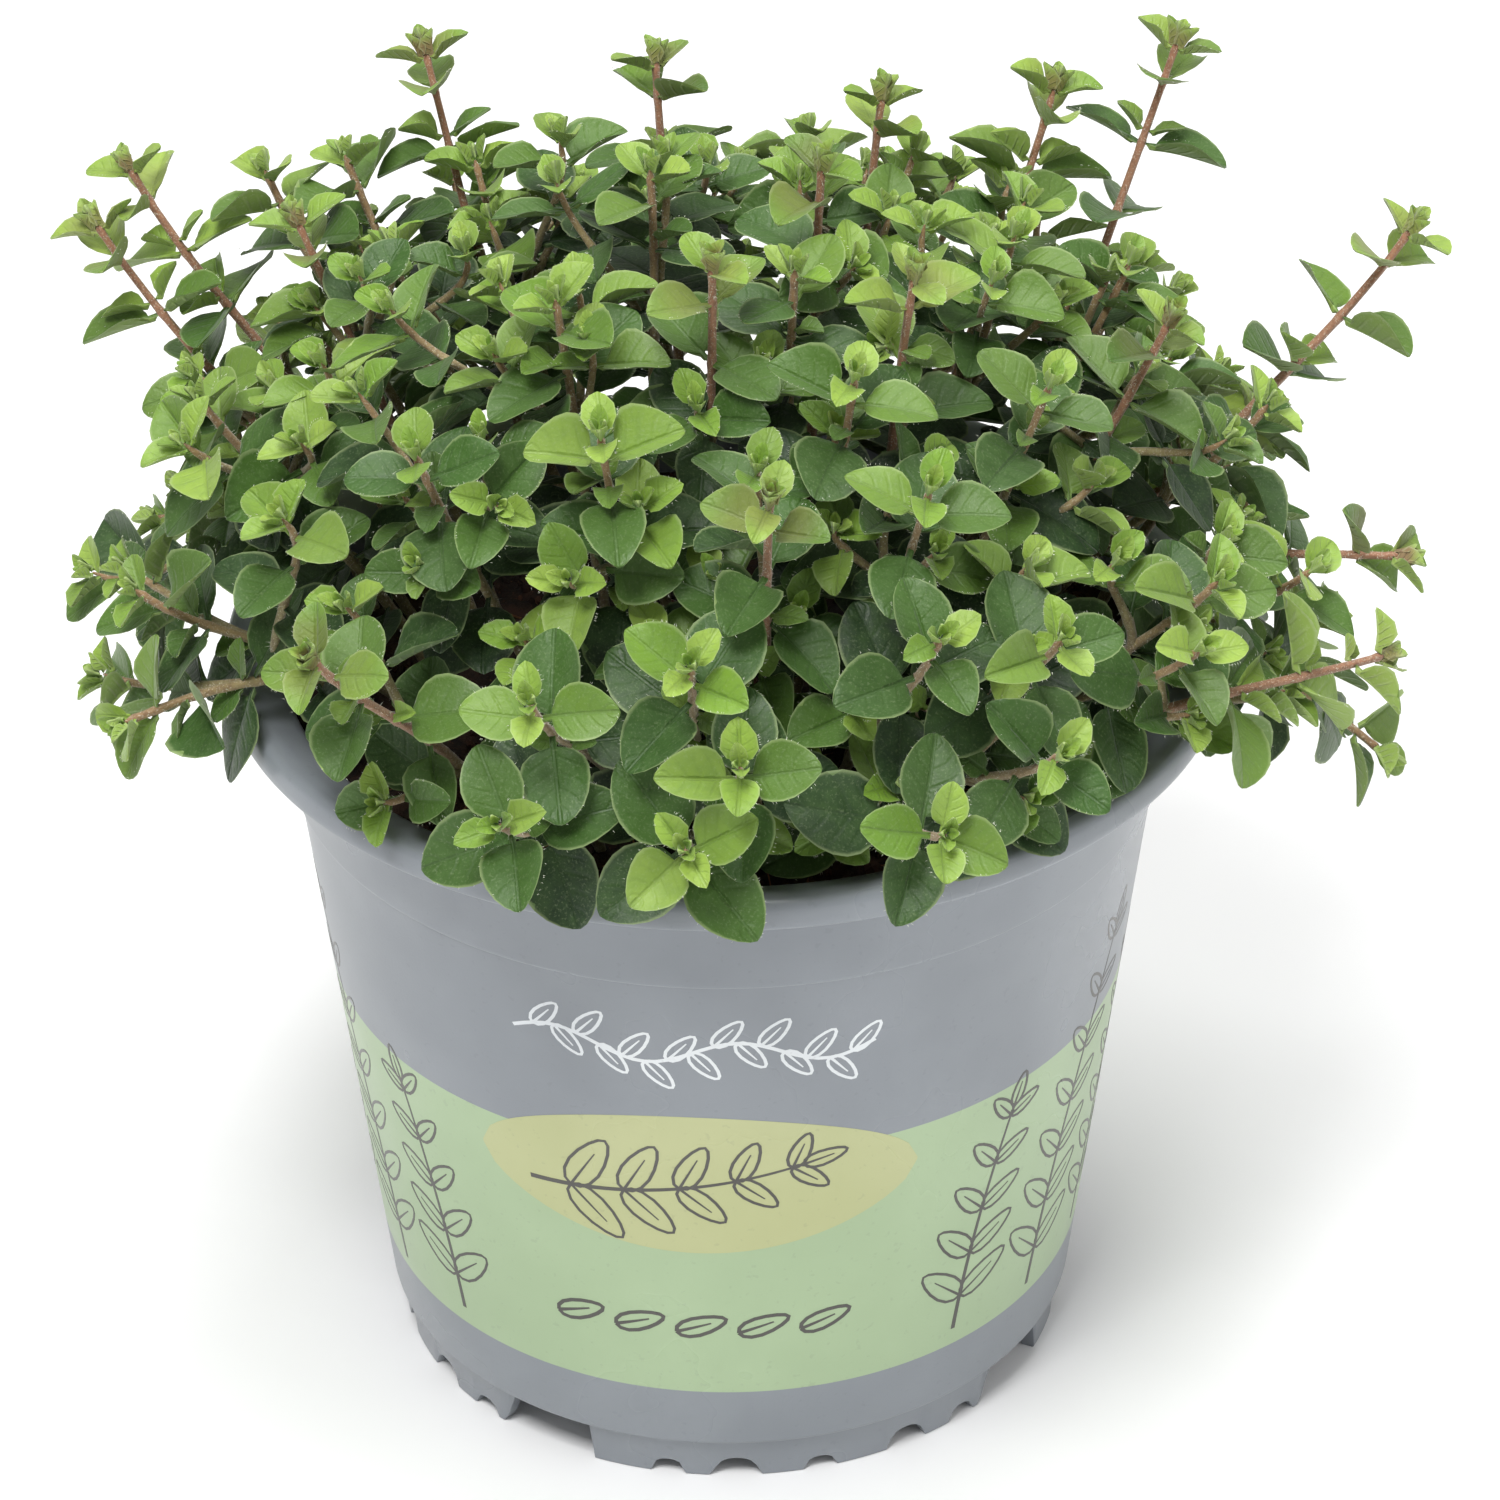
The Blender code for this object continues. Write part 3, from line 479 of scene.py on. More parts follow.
# Darker green along the sunken veins of the upper face: painted shade in their grooves
VEIN_SHADE_GREEN = (34, 54, 24)
DOWN_GREEN = (150, 166, 124)
RIM_GREEN = (164, 180, 128)
BLUSH_RED = (122, 78, 72)
UNDER_GREENS = (146, 172, 82), (90, 118, 64)
UNDER_VEIN_GREEN = (164, 178, 130)
UNDER_DOWN_GREEN = (184, 194, 164)
UNDER_RIM_GREEN = (176, 190, 146)
UNDER_BLUSH_RED = (128, 78, 74)
STEM_GREENS = (144, 146, 90), (130, 114, 80)
STEM_REDS = (152, 104, 76), (138, 110, 80)
STEM_STREAK = (98, 70, 52)
STEM_FLECK = (214, 204, 186)
HAIR_TONES = (232, 232, 218), (206, 212, 190)
SOIL_TONES = (24, 16, 12), (66, 42, 30)
SOIL_RED = (98, 60, 40)
SOIL_PALE = (112, 76, 52)
FIBRE_TONES = (140, 98, 62), (92, 60, 40)

# Studio
FLOOR_REACH = 3.0
WORLD_LIGHT = 0.42
LAMP_AIM = Vector((0.0, 0.0, 0.1))
# Lamps: name, place, width and power
LAMPS = (
    ("key_light", (-0.30, -0.70, 1.40), 0.5, 17.5),
    ("fill_light", (0.95, -0.55, 0.8), 0.9, 3.0),
    ("top_light", (0.1, 0.20, 1.5), 0.8, 13.0),
)


# Layout of the shoots


def ring_quads(rings, sides, first=0):
    """Faces between neighbouring rings of points, where the points start at first."""
    quads = []
    for ring in range(rings - 1):
        for side in range(sides):
            a, b = first + ring * sides + side, first + ring * sides + (side + 1) % sides
            quads.append((a, b, b + sides, a + sides))
    return quads


def camera_axes():
    """Forward, right and up of the photograph's camera."""
    forward = Vector(
        (
            math.sin(CAMERA_YAW) * math.cos(CAMERA_PITCH),
            math.cos(CAMERA_YAW) * math.cos(CAMERA_PITCH),
            -math.sin(CAMERA_PITCH),
        )
    )
    right = forward.cross(UP).normalized()
    up = right.cross(forward)
    turn = Quaternion(forward, -CAMERA_ROLL)
    return forward, turn @ right, turn @ up


def tip_from_photo(pixel, reach):
    """The point that a pixel shows: where its line of sight meets the dome grown by reach,
    or passes nearest to the dome's middle where it misses it."""
    forward, right, up = camera_axes()
    across = (pixel[0] - FRAME_MIDDLE[0]) / FOCAL_PIXELS
    above = (FRAME_MIDDLE[1] - pixel[1]) / FOCAL_PIXELS
    ray = (forward + across * right + above * up).normalized()
    shrink = Vector((1 / DOME_RADIUS, 1 / DOME_RADIUS, 1 / DOME_RISE))
    start = (CAMERA_PLACE - DOME_CENTRE) * shrink
    along = ray * shrink
    a = along.length_squared
    b = start.dot(along)
    c = start.length_squared - reach**2
    inside = b * b - a * c
    travel = (-b - math.sqrt(max(0.0, inside))) / a
    return CAMERA_PLACE + travel * ray


def dome_point(turn, rise, reach):
    """A point of the dome at a compass angle and a height angle."""
    return DOME_CENTRE + reach * Vector(
        (
            DOME_RADIUS * math.cos(turn) * math.cos(rise),
            DOME_RADIUS * math.sin(turn) * math.cos(rise),
            DOME_RISE * math.sin(rise),
        )
    )


def shoot_tips(draw):
    """Every shoot's (tip, kind): those of the photograph, then the rear of the dome, evenly filled."""
    tips = [(tip_from_photo(pixel, ROSETTE_REACH), "rosette") for pixel in ROSETTES_IN_PHOTO]
    tips += [(tip_from_photo(pixel, SPIRE_REACH), "spire") for pixel in SPIRES_IN_PHOTO]
    placed = 0
    spacing = REAR_SPACING
    while placed < REAR_SHOOTS:
        turn = math.radians(draw.uniform(*REAR_TURN))
        rise = math.asin(draw.uniform(*REAR_RISE))
        tip = dome_point(turn, rise, draw.uniform(*REAR_REACH))
        if all((tip - other).length > spacing for other, _ in tips):
            tips.append((tip, "spire" if placed % 3 == 2 else "rosette"))
            placed += 1
        spacing *= SPACING_SHRINK
    return tips


def spread_roots(tips, draw):
    """Where each stem leaves the soil: inward of its tip, and pushed apart until all have room."""
    roots = []
    for tip, _ in tips:
        level = Vector((tip.x, tip.y, 0.0)) * ROOT_SHARE
        level += Vector((draw.uniform(-1, 1), draw.uniform(-1, 1), 0.0)) * ROOT_JITTER
        roots.append(level)
    for _ in range(ROOT_PASSES):
        for i, a in enumerate(roots):
            for b in roots[i + 1 :]:
                apart = a - b
                if 1e-9 < apart.length < ROOT_SPACING:
                    push = apart.normalized() * (ROOT_SPACING - apart.length) * ROOT_PUSH
                    a += push
                    b -= push
        for root in roots:
            if root.length > ROOT_LIMIT:
                root *= ROOT_LIMIT / root.length
    return [Vector((root.x, root.y, SOIL_TOP - HOLE_DEPTH + 2 * GAP)) for root in roots]


def bezier(handles, count=25):
    """Evenly counted points of a cubic curve."""
    a, b, c, d = handles
    points = []
    for index in range(count):
        t = index / (count - 1)
        s = 1 - t
        points.append(s**3 * a + 3 * s * s * t * b + 3 * s * t * t * c + t**3 * d)
    return points


def stem_handles(root, tip, sway, lift):
    """A stem rises from its root, leans out and lifts its tip again."""
    length = (tip - root).length
    out = (tip - DOME_CENTRE) * Vector((1 / DOME_RADIUS**2, 1 / DOME_RADIUS**2, 1 / DOME_RISE**2))
    end = (out.normalized() + TIP_LIFT * UP).normalized()
    rise = (UP + ROOT_LEAN * Vector((out.x, out.y, 0.0)).normalized()).normalized()
    first = root + rise * length * ROOT_PULL + sway + UP * lift
    second = tip - end * length * TIP_PULL + 0.5 * sway + UP * lift
    return root, first, second, tip


def over_rim(points):
    """True where a stem clears the pot's lip as it crosses it."""
    return all(
        point.z > POT_HEIGHT + RIM_CLEARANCE
        for point in points
        if COLLAR_RADIUS - RIM_INSIDE < math.hypot(point.x, point.y) < LIP_RADIUS + RIM_OUTSIDE
    )


def room_between(points, others):
    """The smallest distance from one stem's points to the points of the others."""
    return min(((a - b).length for other in others for b in other for a in points), default=1.0)


def route_stems(tips, roots, draw):
    """A curve for each stem that clears the rim and the stems before it."""
    routes = []
    swung = len(ROSETTES_IN_PHOTO) + SPIRES_IN_PHOTO.index(SWUNG_SHOOT)
    for number, ((tip, _), root) in enumerate(zip(tips, roots)):
        best, best_room = None, -1.0
        for attempt in range(STEM_TRIES):
            reach = SWAY_STEP * attempt
            turn = draw.uniform(0, 2 * math.pi)
            sway = Vector((math.cos(turn), math.sin(turn), 0.0)) * reach
            if number == swung:
                sway += SWING
            lift = 0.0
            points = bezier(stem_handles(root, tip, sway, lift))
            while not over_rim(points) and lift < LIFT_LIMIT:
                lift += LIFT_STEP
                points = bezier(stem_handles(root, tip, sway, lift))
            room = room_between(points, routes)
            if room > best_room:
                best, best_room = points, room
            if room > STEM_CLEARANCE:
                break
        routes.append(best)
    return routes


class Route:
    """A stem's centreline with a frame that doesn't twist."""

    def __init__(self, points, turn, half_widths=(STEM_HALF_WIDTH, STEM_TIP_HALF_WIDTH)):
        self.points = points
        self.half_widths = half_widths
        self.along = [0.0]
        for a, b in zip(points, points[1:]):
            self.along.append(self.along[-1] + (b - a).length)
        self.length = self.along[-1]
        tangent = (points[1] - points[0]).normalized()
        side = tangent.orthogonal().normalized()
        side.rotate(Quaternion(tangent, turn))
        self.tangents, self.sides = [], []
        for index in range(len(points)):
            before, after = points[max(0, index - 1)], points[min(len(points) - 1, index + 1)]
            new = (after - before).normalized()
            side.rotate(tangent.rotation_difference(new))
            side = (side - new * side.dot(new)).normalized()
            tangent = new
            self.tangents.append(tangent.copy())
            self.sides.append(side.copy())

    def at(self, distance):
        """Point, tangent and side at a distance from the root."""
        distance = min(max(distance, 0.0), self.length)
        index = 0
        while index < len(self.points) - 2 and self.along[index + 1] < distance:
            index += 1
        share = (distance - self.along[index]) / (self.along[index + 1] - self.along[index])
        point = self.points[index].lerp(self.points[index + 1], share)
        tangent = self.tangents[index].lerp(self.tangents[index + 1], share).normalized()
        side = self.sides[index].lerp(self.sides[index + 1], share)
        side = (side - tangent * side.dot(tangent)).normalized()
        return point, tangent, side

    def half_width(self, distance):
        share = distance / self.length
        return self.half_widths[0] + (self.half_widths[1] - self.half_widths[0]) * share


# Leaves


class Leaf:
    """One leaf's place: where it leaves the stem, which way it points and faces, and its size."""

    def __init__(self, foot, forward, upper, length, width, curl, fold):
        self.foot = foot
        self.forward = forward.normalized()
        self.upper = (upper - self.forward * upper.dot(self.forward)).normalized()
        self.across = self.forward.cross(self.upper)
        self.length = length
        self.width = width
        self.curl = curl
        self.fold = fold

    def point(self, along, across, above=0.0):
        """A point of the blade: along and across in shares of its length and half width."""
        side = across * self.width / 2
        rise = -self.curl * self.length * along**2 + self.fold * abs(side) + above
        return self.foot + self.forward * (along * self.length) + self.across * side + self.upper * rise

    def outline(self):
        """(along, across) round the blade, from the right of its foot over the tip to the left."""
        return MIDDLE_OUTLINE if self.length < MIDDLE_LEAF else LARGE_OUTLINE

    def shell(self, start, grow):
        """The blade alone from a share of its length on as (points, faces), for testing what it would
        touch. grow is added all round it."""
        outline = [(start, LEAF_FOOT_WIDTH), *self.outline(), (start, -LEAF_FOOT_WIDTH)]
        half = LEAF_THICKNESS / 2 + grow
        widen = 1 + grow / (self.width / 2)
        points = [self.point(a, b * widen, side) for side in (half, -half) for a, b in outline]
        count = len(outline)
        points += [self.point(MIDRIB_POINT, 0.0, half), self.point(MIDRIB_POINT, 0.0, -half)]
        faces = []
        for i in range(count):
            j = (i + 1) % count
            faces.append((i, j, 2 * count))
            faces.append((count + j, count + i, 2 * count + 1))
            faces.append((i, count + i, count + j, j))
        return points, faces


class Crowd:
    """All that stands in the way of a new leaf, as search trees with their spheres and owners, kept by the
    cells of space that they lie in."""

    CELL = 0.012

    def __init__(self):
        self.members = []
        self.cells = {}

    def cells_round(self, middle, radius):
        low = [int(math.floor((value - radius) / self.CELL)) for value in middle]
        high = [int(math.floor((value + radius) / self.CELL)) for value in middle]
        for x in range(low[0], high[0] + 1):
            for y in range(low[1], high[1] + 1):
                for z in range(low[2], high[2] + 1):
                    yield x, y, z

    def add(self, points, faces, owner=None):
        middle = sum(points, Vector()) / len(points)
        radius = max((point - middle).length for point in points)
        for cell in self.cells_round(middle, radius):
            self.cells.setdefault(cell, []).append(len(self.members))
        self.members.append((BVHTree.FromPolygons(points, faces), middle, radius, owner))

    def near(self, middle, radius):
        found = set()
        for cell in self.cells_round(middle, radius):
            found.update(self.cells.get(cell, ()))
        return [self.members[index] for index in sorted(found)]

    def has_room(self, leaf, owner):
        """True where the leaf keeps its distance from all others, and meets no leaf of its own stem."""
        apart_tree = BVHTree.FromPolygons(*leaf.shell(SHELL_START, 2 * LEAF_CLEARANCE))
        close_tree = BVHTree.FromPolygons(*leaf.shell(OWN_SHELL_START, 0.0))
        middle = leaf.point(0.5, 0.0)
        for tree, centre, size, whose in self.near(middle, leaf.length):
            if (centre - middle).length > leaf.length + size:
                continue
            if tree.overlap(close_tree if whose == owner else apart_tree):
                return False
        return True

    def is_free(self, points, faces, owner):
        """True where a shape meets nothing but what belongs to its owner."""
        middle = sum(points, Vector()) / len(points)
        radius = max((point - middle).length for point in points)
        shape = BVHTree.FromPolygons(points, faces)
        return not any(
            whose != owner and tree.overlap(shape) for tree, _, _, whose in self.near(middle, radius)
        )


def tube(points, radius):
    """A plain square tube round a line of points, for testing what it would touch."""
    made = []
    for index, point in enumerate(points):
        before, after = points[max(0, index - 1)], points[min(len(points) - 1, index + 1)]
        tangent = (after - before).normalized()
        a = tangent.orthogonal().normalized()
        b = tangent.cross(a)
        made += [point + radius * (x * a + y * b) for x, y in ((1, 1), (-1, 1), (-1, -1), (1, -1))]
    return made, ring_quads(len(points), 4)


def pot_guard():
    """The surfaces of the soil and the pot that leaves keep clear of, as strips round the axis."""
    profile = (
        (0.0, SOIL_TOP),
        (COLLAR_RADIUS - WALL - 0.001, SOIL_TOP),
        (COLLAR_RADIUS - WALL, POT_HEIGHT),
        (LIP_RADIUS, POT_HEIGHT),
        (LIP_RADIUS, POT_HEIGHT - LIP_HEIGHT),
        (COLLAR_RADIUS, POT_HEIGHT - LIP_HEIGHT),
        (BASE_RADIUS, 0.0),
    )
    points = []
    for radius, height in profile:
        for side in range(GUARD_SIDES):
            angle = 2 * math.pi * side / GUARD_SIDES
            points.append(Vector((radius * math.cos(angle), radius * math.sin(angle), height)))
    return points, ring_quads(len(profile), GUARD_SIDES)


def tilted(normal, tangent, tilt):
    """Forward and upper directions of a leaf that leaves a stem along normal and tilts up along it."""
    forward = normal * math.cos(tilt) + tangent * math.sin(tilt)
    upper = tangent * math.cos(tilt) - normal * math.sin(tilt)
    return forward, upper


def try_leaf(foot, normal, tangent, length, pitch, draw, attempt):
    """A leaf on a stem's face, turned and tilted further from its natural place with each attempt."""
    loose = min(1.0, 0.25 + attempt / 12)
    turn = math.radians(draw.uniform(-LEAF_TURN, LEAF_TURN)) * loose
    tilt = math.radians(pitch + draw.uniform(-LEAF_TILT, LEAF_TILT) * loose)
    roll = math.radians(draw.uniform(-LEAF_ROLL, LEAF_ROLL)) * loose
    size = length * draw.uniform(*SIZE_SPREAD) * (1 - LEAF_SHRINK * attempt)
    normal = normal.copy()
    normal.rotate(Quaternion(tangent, turn))
    forward, upper = tilted(normal, tangent, tilt)
    upper.rotate(Quaternion(forward, roll))
    light = (UP + LIGHT_LEAN + LIGHT_SPREAD * (foot - DOME_CENTRE).normalized()).normalized()
    upper = upper.lerp(light, LIGHT_PULL).normalized()
    forward -= upper * forward.dot(upper)
    width = size * LEAF_WIDTH_SHARE * draw.uniform(*WIDTH_SPREAD)
    curl = draw.uniform(*CURL_SPREAD) * (1 if attempt < FLATTER_AFTER else FLATTER_SHARE)
    fold = draw.uniform(*FOLD_SPREAD)
    return Leaf(foot, forward, upper, size, width, curl, fold)


def leaf_nodes(route, kind, number, draw):
    """Distances from the root of a stem's leaf pairs, with each pair's leaf length and pitch, root first.
    Only every third rosette has the lowest pair."""
    pairs = SPIRE_PAIRS if kind == "spire" else ROSETTE_PAIRS[: 5 if number % 3 == 0 else 4]
    grow = draw.uniform(*PAIR_GROWTH)
    return [
        (route.length - below * grow, length * draw.uniform(*PAIR_SIZE), pitch)
        for below, length, pitch in reversed(pairs)
    ]


def grow_pair(stem, key, distance, length, pitch, first, owner, crowd, draw):
    """Two opposite leaves, each turned until it is clear of all that is there, or left out where it
    finds no room."""
    route = stem["route"]
    point, tangent, side = route.at(distance)
    half = route.half_width(distance)
    other = tangent.cross(side)
    normals = (side, other, -side, -other)
    for face in (first, first + 2):
        foot = point + normals[face] * half
        for attempt in range(LEAF_TRIES):
            leaf = try_leaf(foot, normals[face], tangent, length, pitch, draw, attempt)
            if crowd.has_room(leaf, owner):
                crowd.add(*leaf.shell(SHELL_START, 0.0), owner)
                stem["leaves"][(key, face)] = leaf
                break


def grow_leaves(stems, crowd, draw):
    """Leaves for every stem, the outer pairs of all stems first."""
    pairs = max(len(stem["nodes"]) for stem in stems)
    for rank in range(pairs):
        for owner, stem in enumerate(stems):
            number = len(stem["nodes"]) - 1 - rank
            if number >= 0:
                distance, length, pitch = stem["nodes"][number]
                grow_pair(stem, number, distance, length, pitch, rank % 2, owner, crowd, draw)


def lay_out():
    """The plant of the solids as a list of stems, each with its route, leaf pairs and leaves, and the crowd
    that they make up."""
    draw = random.Random(SEED)
    tips = shoot_tips(draw)
    roots = spread_roots(tips, draw)
    routes = route_stems(tips, roots, draw)
    crowd = Crowd()
    crowd.add(*pot_guard())
    stems = []
    for owner, ((_, kind), points) in enumerate(zip(tips, routes)):
        route = Route(points, draw.uniform(0, math.pi))
        for start in range(0, len(points) - 1, 4):
            crowd.add(*tube(points[start : start + 5], STEM_HALF_WIDTH), owner)
        nodes = leaf_nodes(route, kind, owner, draw)
        stems.append({"kind": kind, "route": route, "nodes": nodes, "leaves": {}})
    grow_leaves(stems, crowd, draw)
    return stems, crowd


# What the finer plant adds to the layout


def add_inner_pairs(stems, crowd, draw):
    """More leaf pairs down each stem, under those that its solid has."""
    for owner, stem in enumerate(stems):
        distance = stem["nodes"][0][0] - INNER_SPACING
        rank = len(stem["nodes"])
        while distance > BARE_STEM * stem["route"].length:
            length = INNER_LEAF * draw.uniform(*INNER_SIZE)
            pitch = draw.uniform(*INNER_PITCH)
            grow_pair(stem, -rank, distance, length, pitch, rank % 2, owner, crowd, draw)
            distance -= INNER_SPACING
            rank += 1


def add_axil_leaves(stems, crowd, draw):
    """The small leaves that start in the corner between a leaf and its stem."""
    for owner, stem in enumerate(stems):
        last = len(stem["nodes"]) - 1
        for number, (distance, _, _) in enumerate(stem["nodes"]):
            rank = last - number
            if rank >= AXIL_RANK and draw.random() < AXIL_SHARE:
                key = AXIL_KEY + number
                place = distance + AXIL_ABOVE
                length = draw.uniform(*AXIL_LEAF)
                grow_pair(stem, key, place, length, AXIL_PITCH, rank % 2, owner, crowd, draw)


def branch_start(stems, tip):
    """The stem, and the distance along it, that a side shoot to tip grows from most naturally."""
    best, cost = None, 1e9
    for owner, stem in enumerate(stems):
        route = stem["route"]
        for share in BRANCH_STARTS:
            point, tangent, _ = route.at(route.length * share)
            way = tip - point
            if way.length < BRANCH_SHORTEST or point.z < SOIL_TOP + BRANCH_OVER_SOIL:
                continue
            price = way.length + BRANCH_TURN_COST * (1 - way.normalized().dot((tangent + UP).normalized()))
            if price < cost:
                best, cost = (owner, route.length * share), price
    return best


def branch_tip(number, draw):
    """The tip of one side shoot, all evenly spread over the dome, or None where it stays bare."""
    turn = GOLDEN_TURN * number
    low, high = BRANCH_RISE
    rise = math.asin(low + (high - low) * (number + 0.5) / BRANCHES)
    reach = draw.uniform(*BRANCH_REACH)
    way = (dome_point(turn, rise, reach) - DOME_CENTRE).normalized()
    if all(part < limit for part, limit in zip(way, BARE_CORNER)) and draw.random() < BARE_SHARE:
        return None
    return dome_point(turn, rise, reach * (1 - FRONT_SHORTER * max(0.0, -way.y) ** 2))


def branch_points(start, tangent, tip, sway):
    """A side shoot's curve from a stem to its tip."""
    out = (tip - start).normalized()
    length = (tip - start).length
    end = ((tip - DOME_CENTRE).normalized() + BRANCH_TIP_LIFT * UP).normalized()
    first = start + (tangent + out) * length * BRANCH_ROOT_PULL + sway
    second = tip - end * length * BRANCH_TIP_PULL + sway
    return bezier((start, first, second, tip), BRANCH_POINTS)


def make_branch(points, owner, draw):
    route = Route(points, draw.uniform(0, math.pi), (BRANCH_HALF_WIDTH, BRANCH_TIP_HALF_WIDTH))
    grow = draw.uniform(*PAIR_GROWTH)
    nodes = [
        (route.length - below * grow, size * draw.uniform(*BRANCH_PAIR_SIZE), pitch)
        for below, size, pitch in reversed(BRANCH_PAIRS)
        if route.length - below * grow > BRANCH_LOWEST_PAIR
    ]
    return {"kind": "branch", "route": route, "nodes": nodes, "leaves": {}, "parent": owner}


def add_branches(stems, crowd, draw):
    """Side shoots that fill the dome under the tips of the solids' shoots."""
    branches = []
    for number in range(BRANCHES):
        tip = branch_tip(number, draw)
        found = None if tip is None else branch_start(stems, tip)
        if found is None or (not over_rim([tip]) and tip.z < POT_HEIGHT + BRANCH_OVER_RIM):
            continue
        owner, distance = found
        start, tangent, _ = stems[owner]["route"].at(distance)
        for attempt in range(BRANCH_TRIES):
            sway = Vector([draw.uniform(-1, 1) for _ in range(3)]) * BRANCH_SWAY_STEP * attempt
            points = branch_points(start, tangent, tip, sway)
            if not over_rim(points):
                continue
            if crowd.is_free(*tube(points[3:], BRANCH_HALF_WIDTH + LEAF_CLEARANCE), owner):
                branches.append(make_branch(points, owner, draw))
                crowd.add(*tube(points[1:], BRANCH_HALF_WIDTH), owner)
                break
    for rank in range(len(BRANCH_PAIRS)):
        for branch in branches:
            number = len(branch["nodes"]) - 1 - rank
            if number >= 0:
                distance, size, pitch = branch["nodes"][number]
                grow_pair(branch, number, distance, size, pitch, rank % 2, branch["parent"], crowd, draw)
    return branches


# Meshes


class Growth:
    """Gathers the points, faces and tones of one piece, and makes its mesh."""

    def __init__(self, finishes):
        self.finishes = finishes
        self.points, self.quads, self.kinds = [], [], []
        self.tones, self.blades = [], []
        self.count = 0

    def add(self, points, quads, kinds, tones=(0.5, 0.5, 0.0), blades=None):
        """points is n by 3 and quads m by 4, where a triangle repeats its last corner. kinds says which
        finish each quad has, by number. tones is n by 3 or one triple of age, shade and blush, and blades
        is n by 3: the share along the blade, the distance across it in millimetres, and its share."""
        points = np.asarray(points, dtype=np.float64)
        quads = np.asarray(quads, dtype=np.int64)
        self.points.append(points)
        self.quads.append(quads + self.count)
        self.kinds.append(np.broadcast_to(np.asarray(kinds, dtype=np.int32), (len(quads),)))
        self.tones.append(np.broadcast_to(np.asarray(tones, dtype=np.float32), (len(points), 3)))
        self.blades.append(np.zeros((len(points), 3)) if blades is None else blades)
        self.count += len(points)

    def make(self, name, sharp=SHARP_ANGLE):
        points = np.concatenate(self.points) + np.array(POT_AXIS)
        quads = np.concatenate(self.quads)
        sizes = np.where(quads[:, 2] == quads[:, 3], 3, 4)
        starts = np.concatenate([[0], np.cumsum(sizes)[:-1]])
        corners = quads[np.arange(4)[None, :] < sizes[:, None]]
        mesh = bpy.data.meshes.new(name)
        mesh.vertices.add(len(points))
        mesh.vertices.foreach_set("co", points.astype(np.float32).ravel())
        mesh.loops.add(len(corners))
        mesh.loops.foreach_set("vertex_index", corners.astype(np.int32))
        mesh.polygons.add(len(quads))
        mesh.polygons.foreach_set("loop_start", starts.astype(np.int32))
        mesh.polygons.foreach_set("material_index", np.concatenate(self.kinds).astype(np.int32))
        for label, values in (("tone", self.tones), ("blade", self.blades)):
            layer = mesh.attributes.new(label, "FLOAT_VECTOR", "POINT")
            layer.data.foreach_set("vector", np.concatenate(values).astype(np.float32).ravel())
        mesh.update(calc_edges=True)
        mesh.validate()
        mesh.shade_smooth()
        mesh.set_sharp_from_angle(angle=math.radians(sharp))
        for finish in self.finishes:
            mesh.materials.append(finish)
        made = bpy.data.objects.new(name, mesh)
        bpy.context.scene.collection.objects.link(made)
        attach(made, "root")
        return made


UPPER, UNDER, SKIN, HAIR = range(4)


class BladeGrid:
    """A leaf's grid of rows along it and columns across it. Its upper and lower faces share their rim."""

    def __init__(self, rows, across):
        turns = [(1 - math.cos(math.pi * row / rows)) / 2 for row in range(rows)]
        along = [0.0, 0.5 * STALK_SHARE] + [STALK_SHARE + (1 - STALK_SHARE) * turn for turn in turns]
        across = [-place for place in reversed(across)] + [0.0] + list(across)
        rows, columns = len(along), len(across)
        tip = rows * columns
        top = np.arange(tip).reshape(rows, columns)
        low = top.copy()
        low[1:, 1:-1] = tip + 1 + np.arange((rows - 1) * (columns - 2)).reshape(rows - 1, columns - 2)
        quads, kinds = [], []
        for grid, kind in ((top, UPPER), (low, UNDER)):
            found = []
            for row in range(rows - 1):
                for column in range(columns - 1):
                    a, b = grid[row, column], grid[row, column + 1]
                    found.append([a, b, grid[row + 1, column + 1], grid[row + 1, column]])
            found += [[grid[-1, column], grid[-1, column + 1], tip, tip] for column in range(columns - 1)]
            if kind == UPPER:
                quads += found
            else:
                quads += [[b, a, d, c] if c != d else [b, a, c, c] for a, b, c, d in found]
            kinds += [kind] * len(found)
        self.quads, self.kinds = np.array(quads), np.array(kinds)
        u, v = np.meshgrid(along, across, indexing="ij")
        self.u = np.concatenate([u.ravel(), [1.0], u[1:, 1:-1].ravel()])
        self.v = np.concatenate([v.ravel(), [0.0], v[1:, 1:-1].ravel()])
        side = np.ones_like(u)
        self.side = np.concatenate([side.ravel(), [0.0], -side[1:, 1:-1].ravel()])
        self.t = np.clip((self.u - STALK_SHARE) / (1 - STALK_SHARE), 0, 1)


FINE_GRID = BladeGrid(10, (0.13, 0.42, 0.75, 1.0))
MIDDLE_GRID = BladeGrid(8, (0.16, 0.6, 1.0))
SMALL_GRID = BladeGrid(5, (0.5, 1.0))


def half_width(t, leaf):
    """Half the width of a leaf at shares of its blade: a thin stalk, then an egg shape with a blunt tip."""
    egg = EGG_SCALE * t**EGG_BASE * (1 - t) ** EGG_TIP
    stalk = min(STALK_HALF_WIDTH, leaf.width * STALK_LIMIT) * (1 - t)
    return np.sqrt(stalk**2 + (leaf.width / 2 * egg) ** 2)


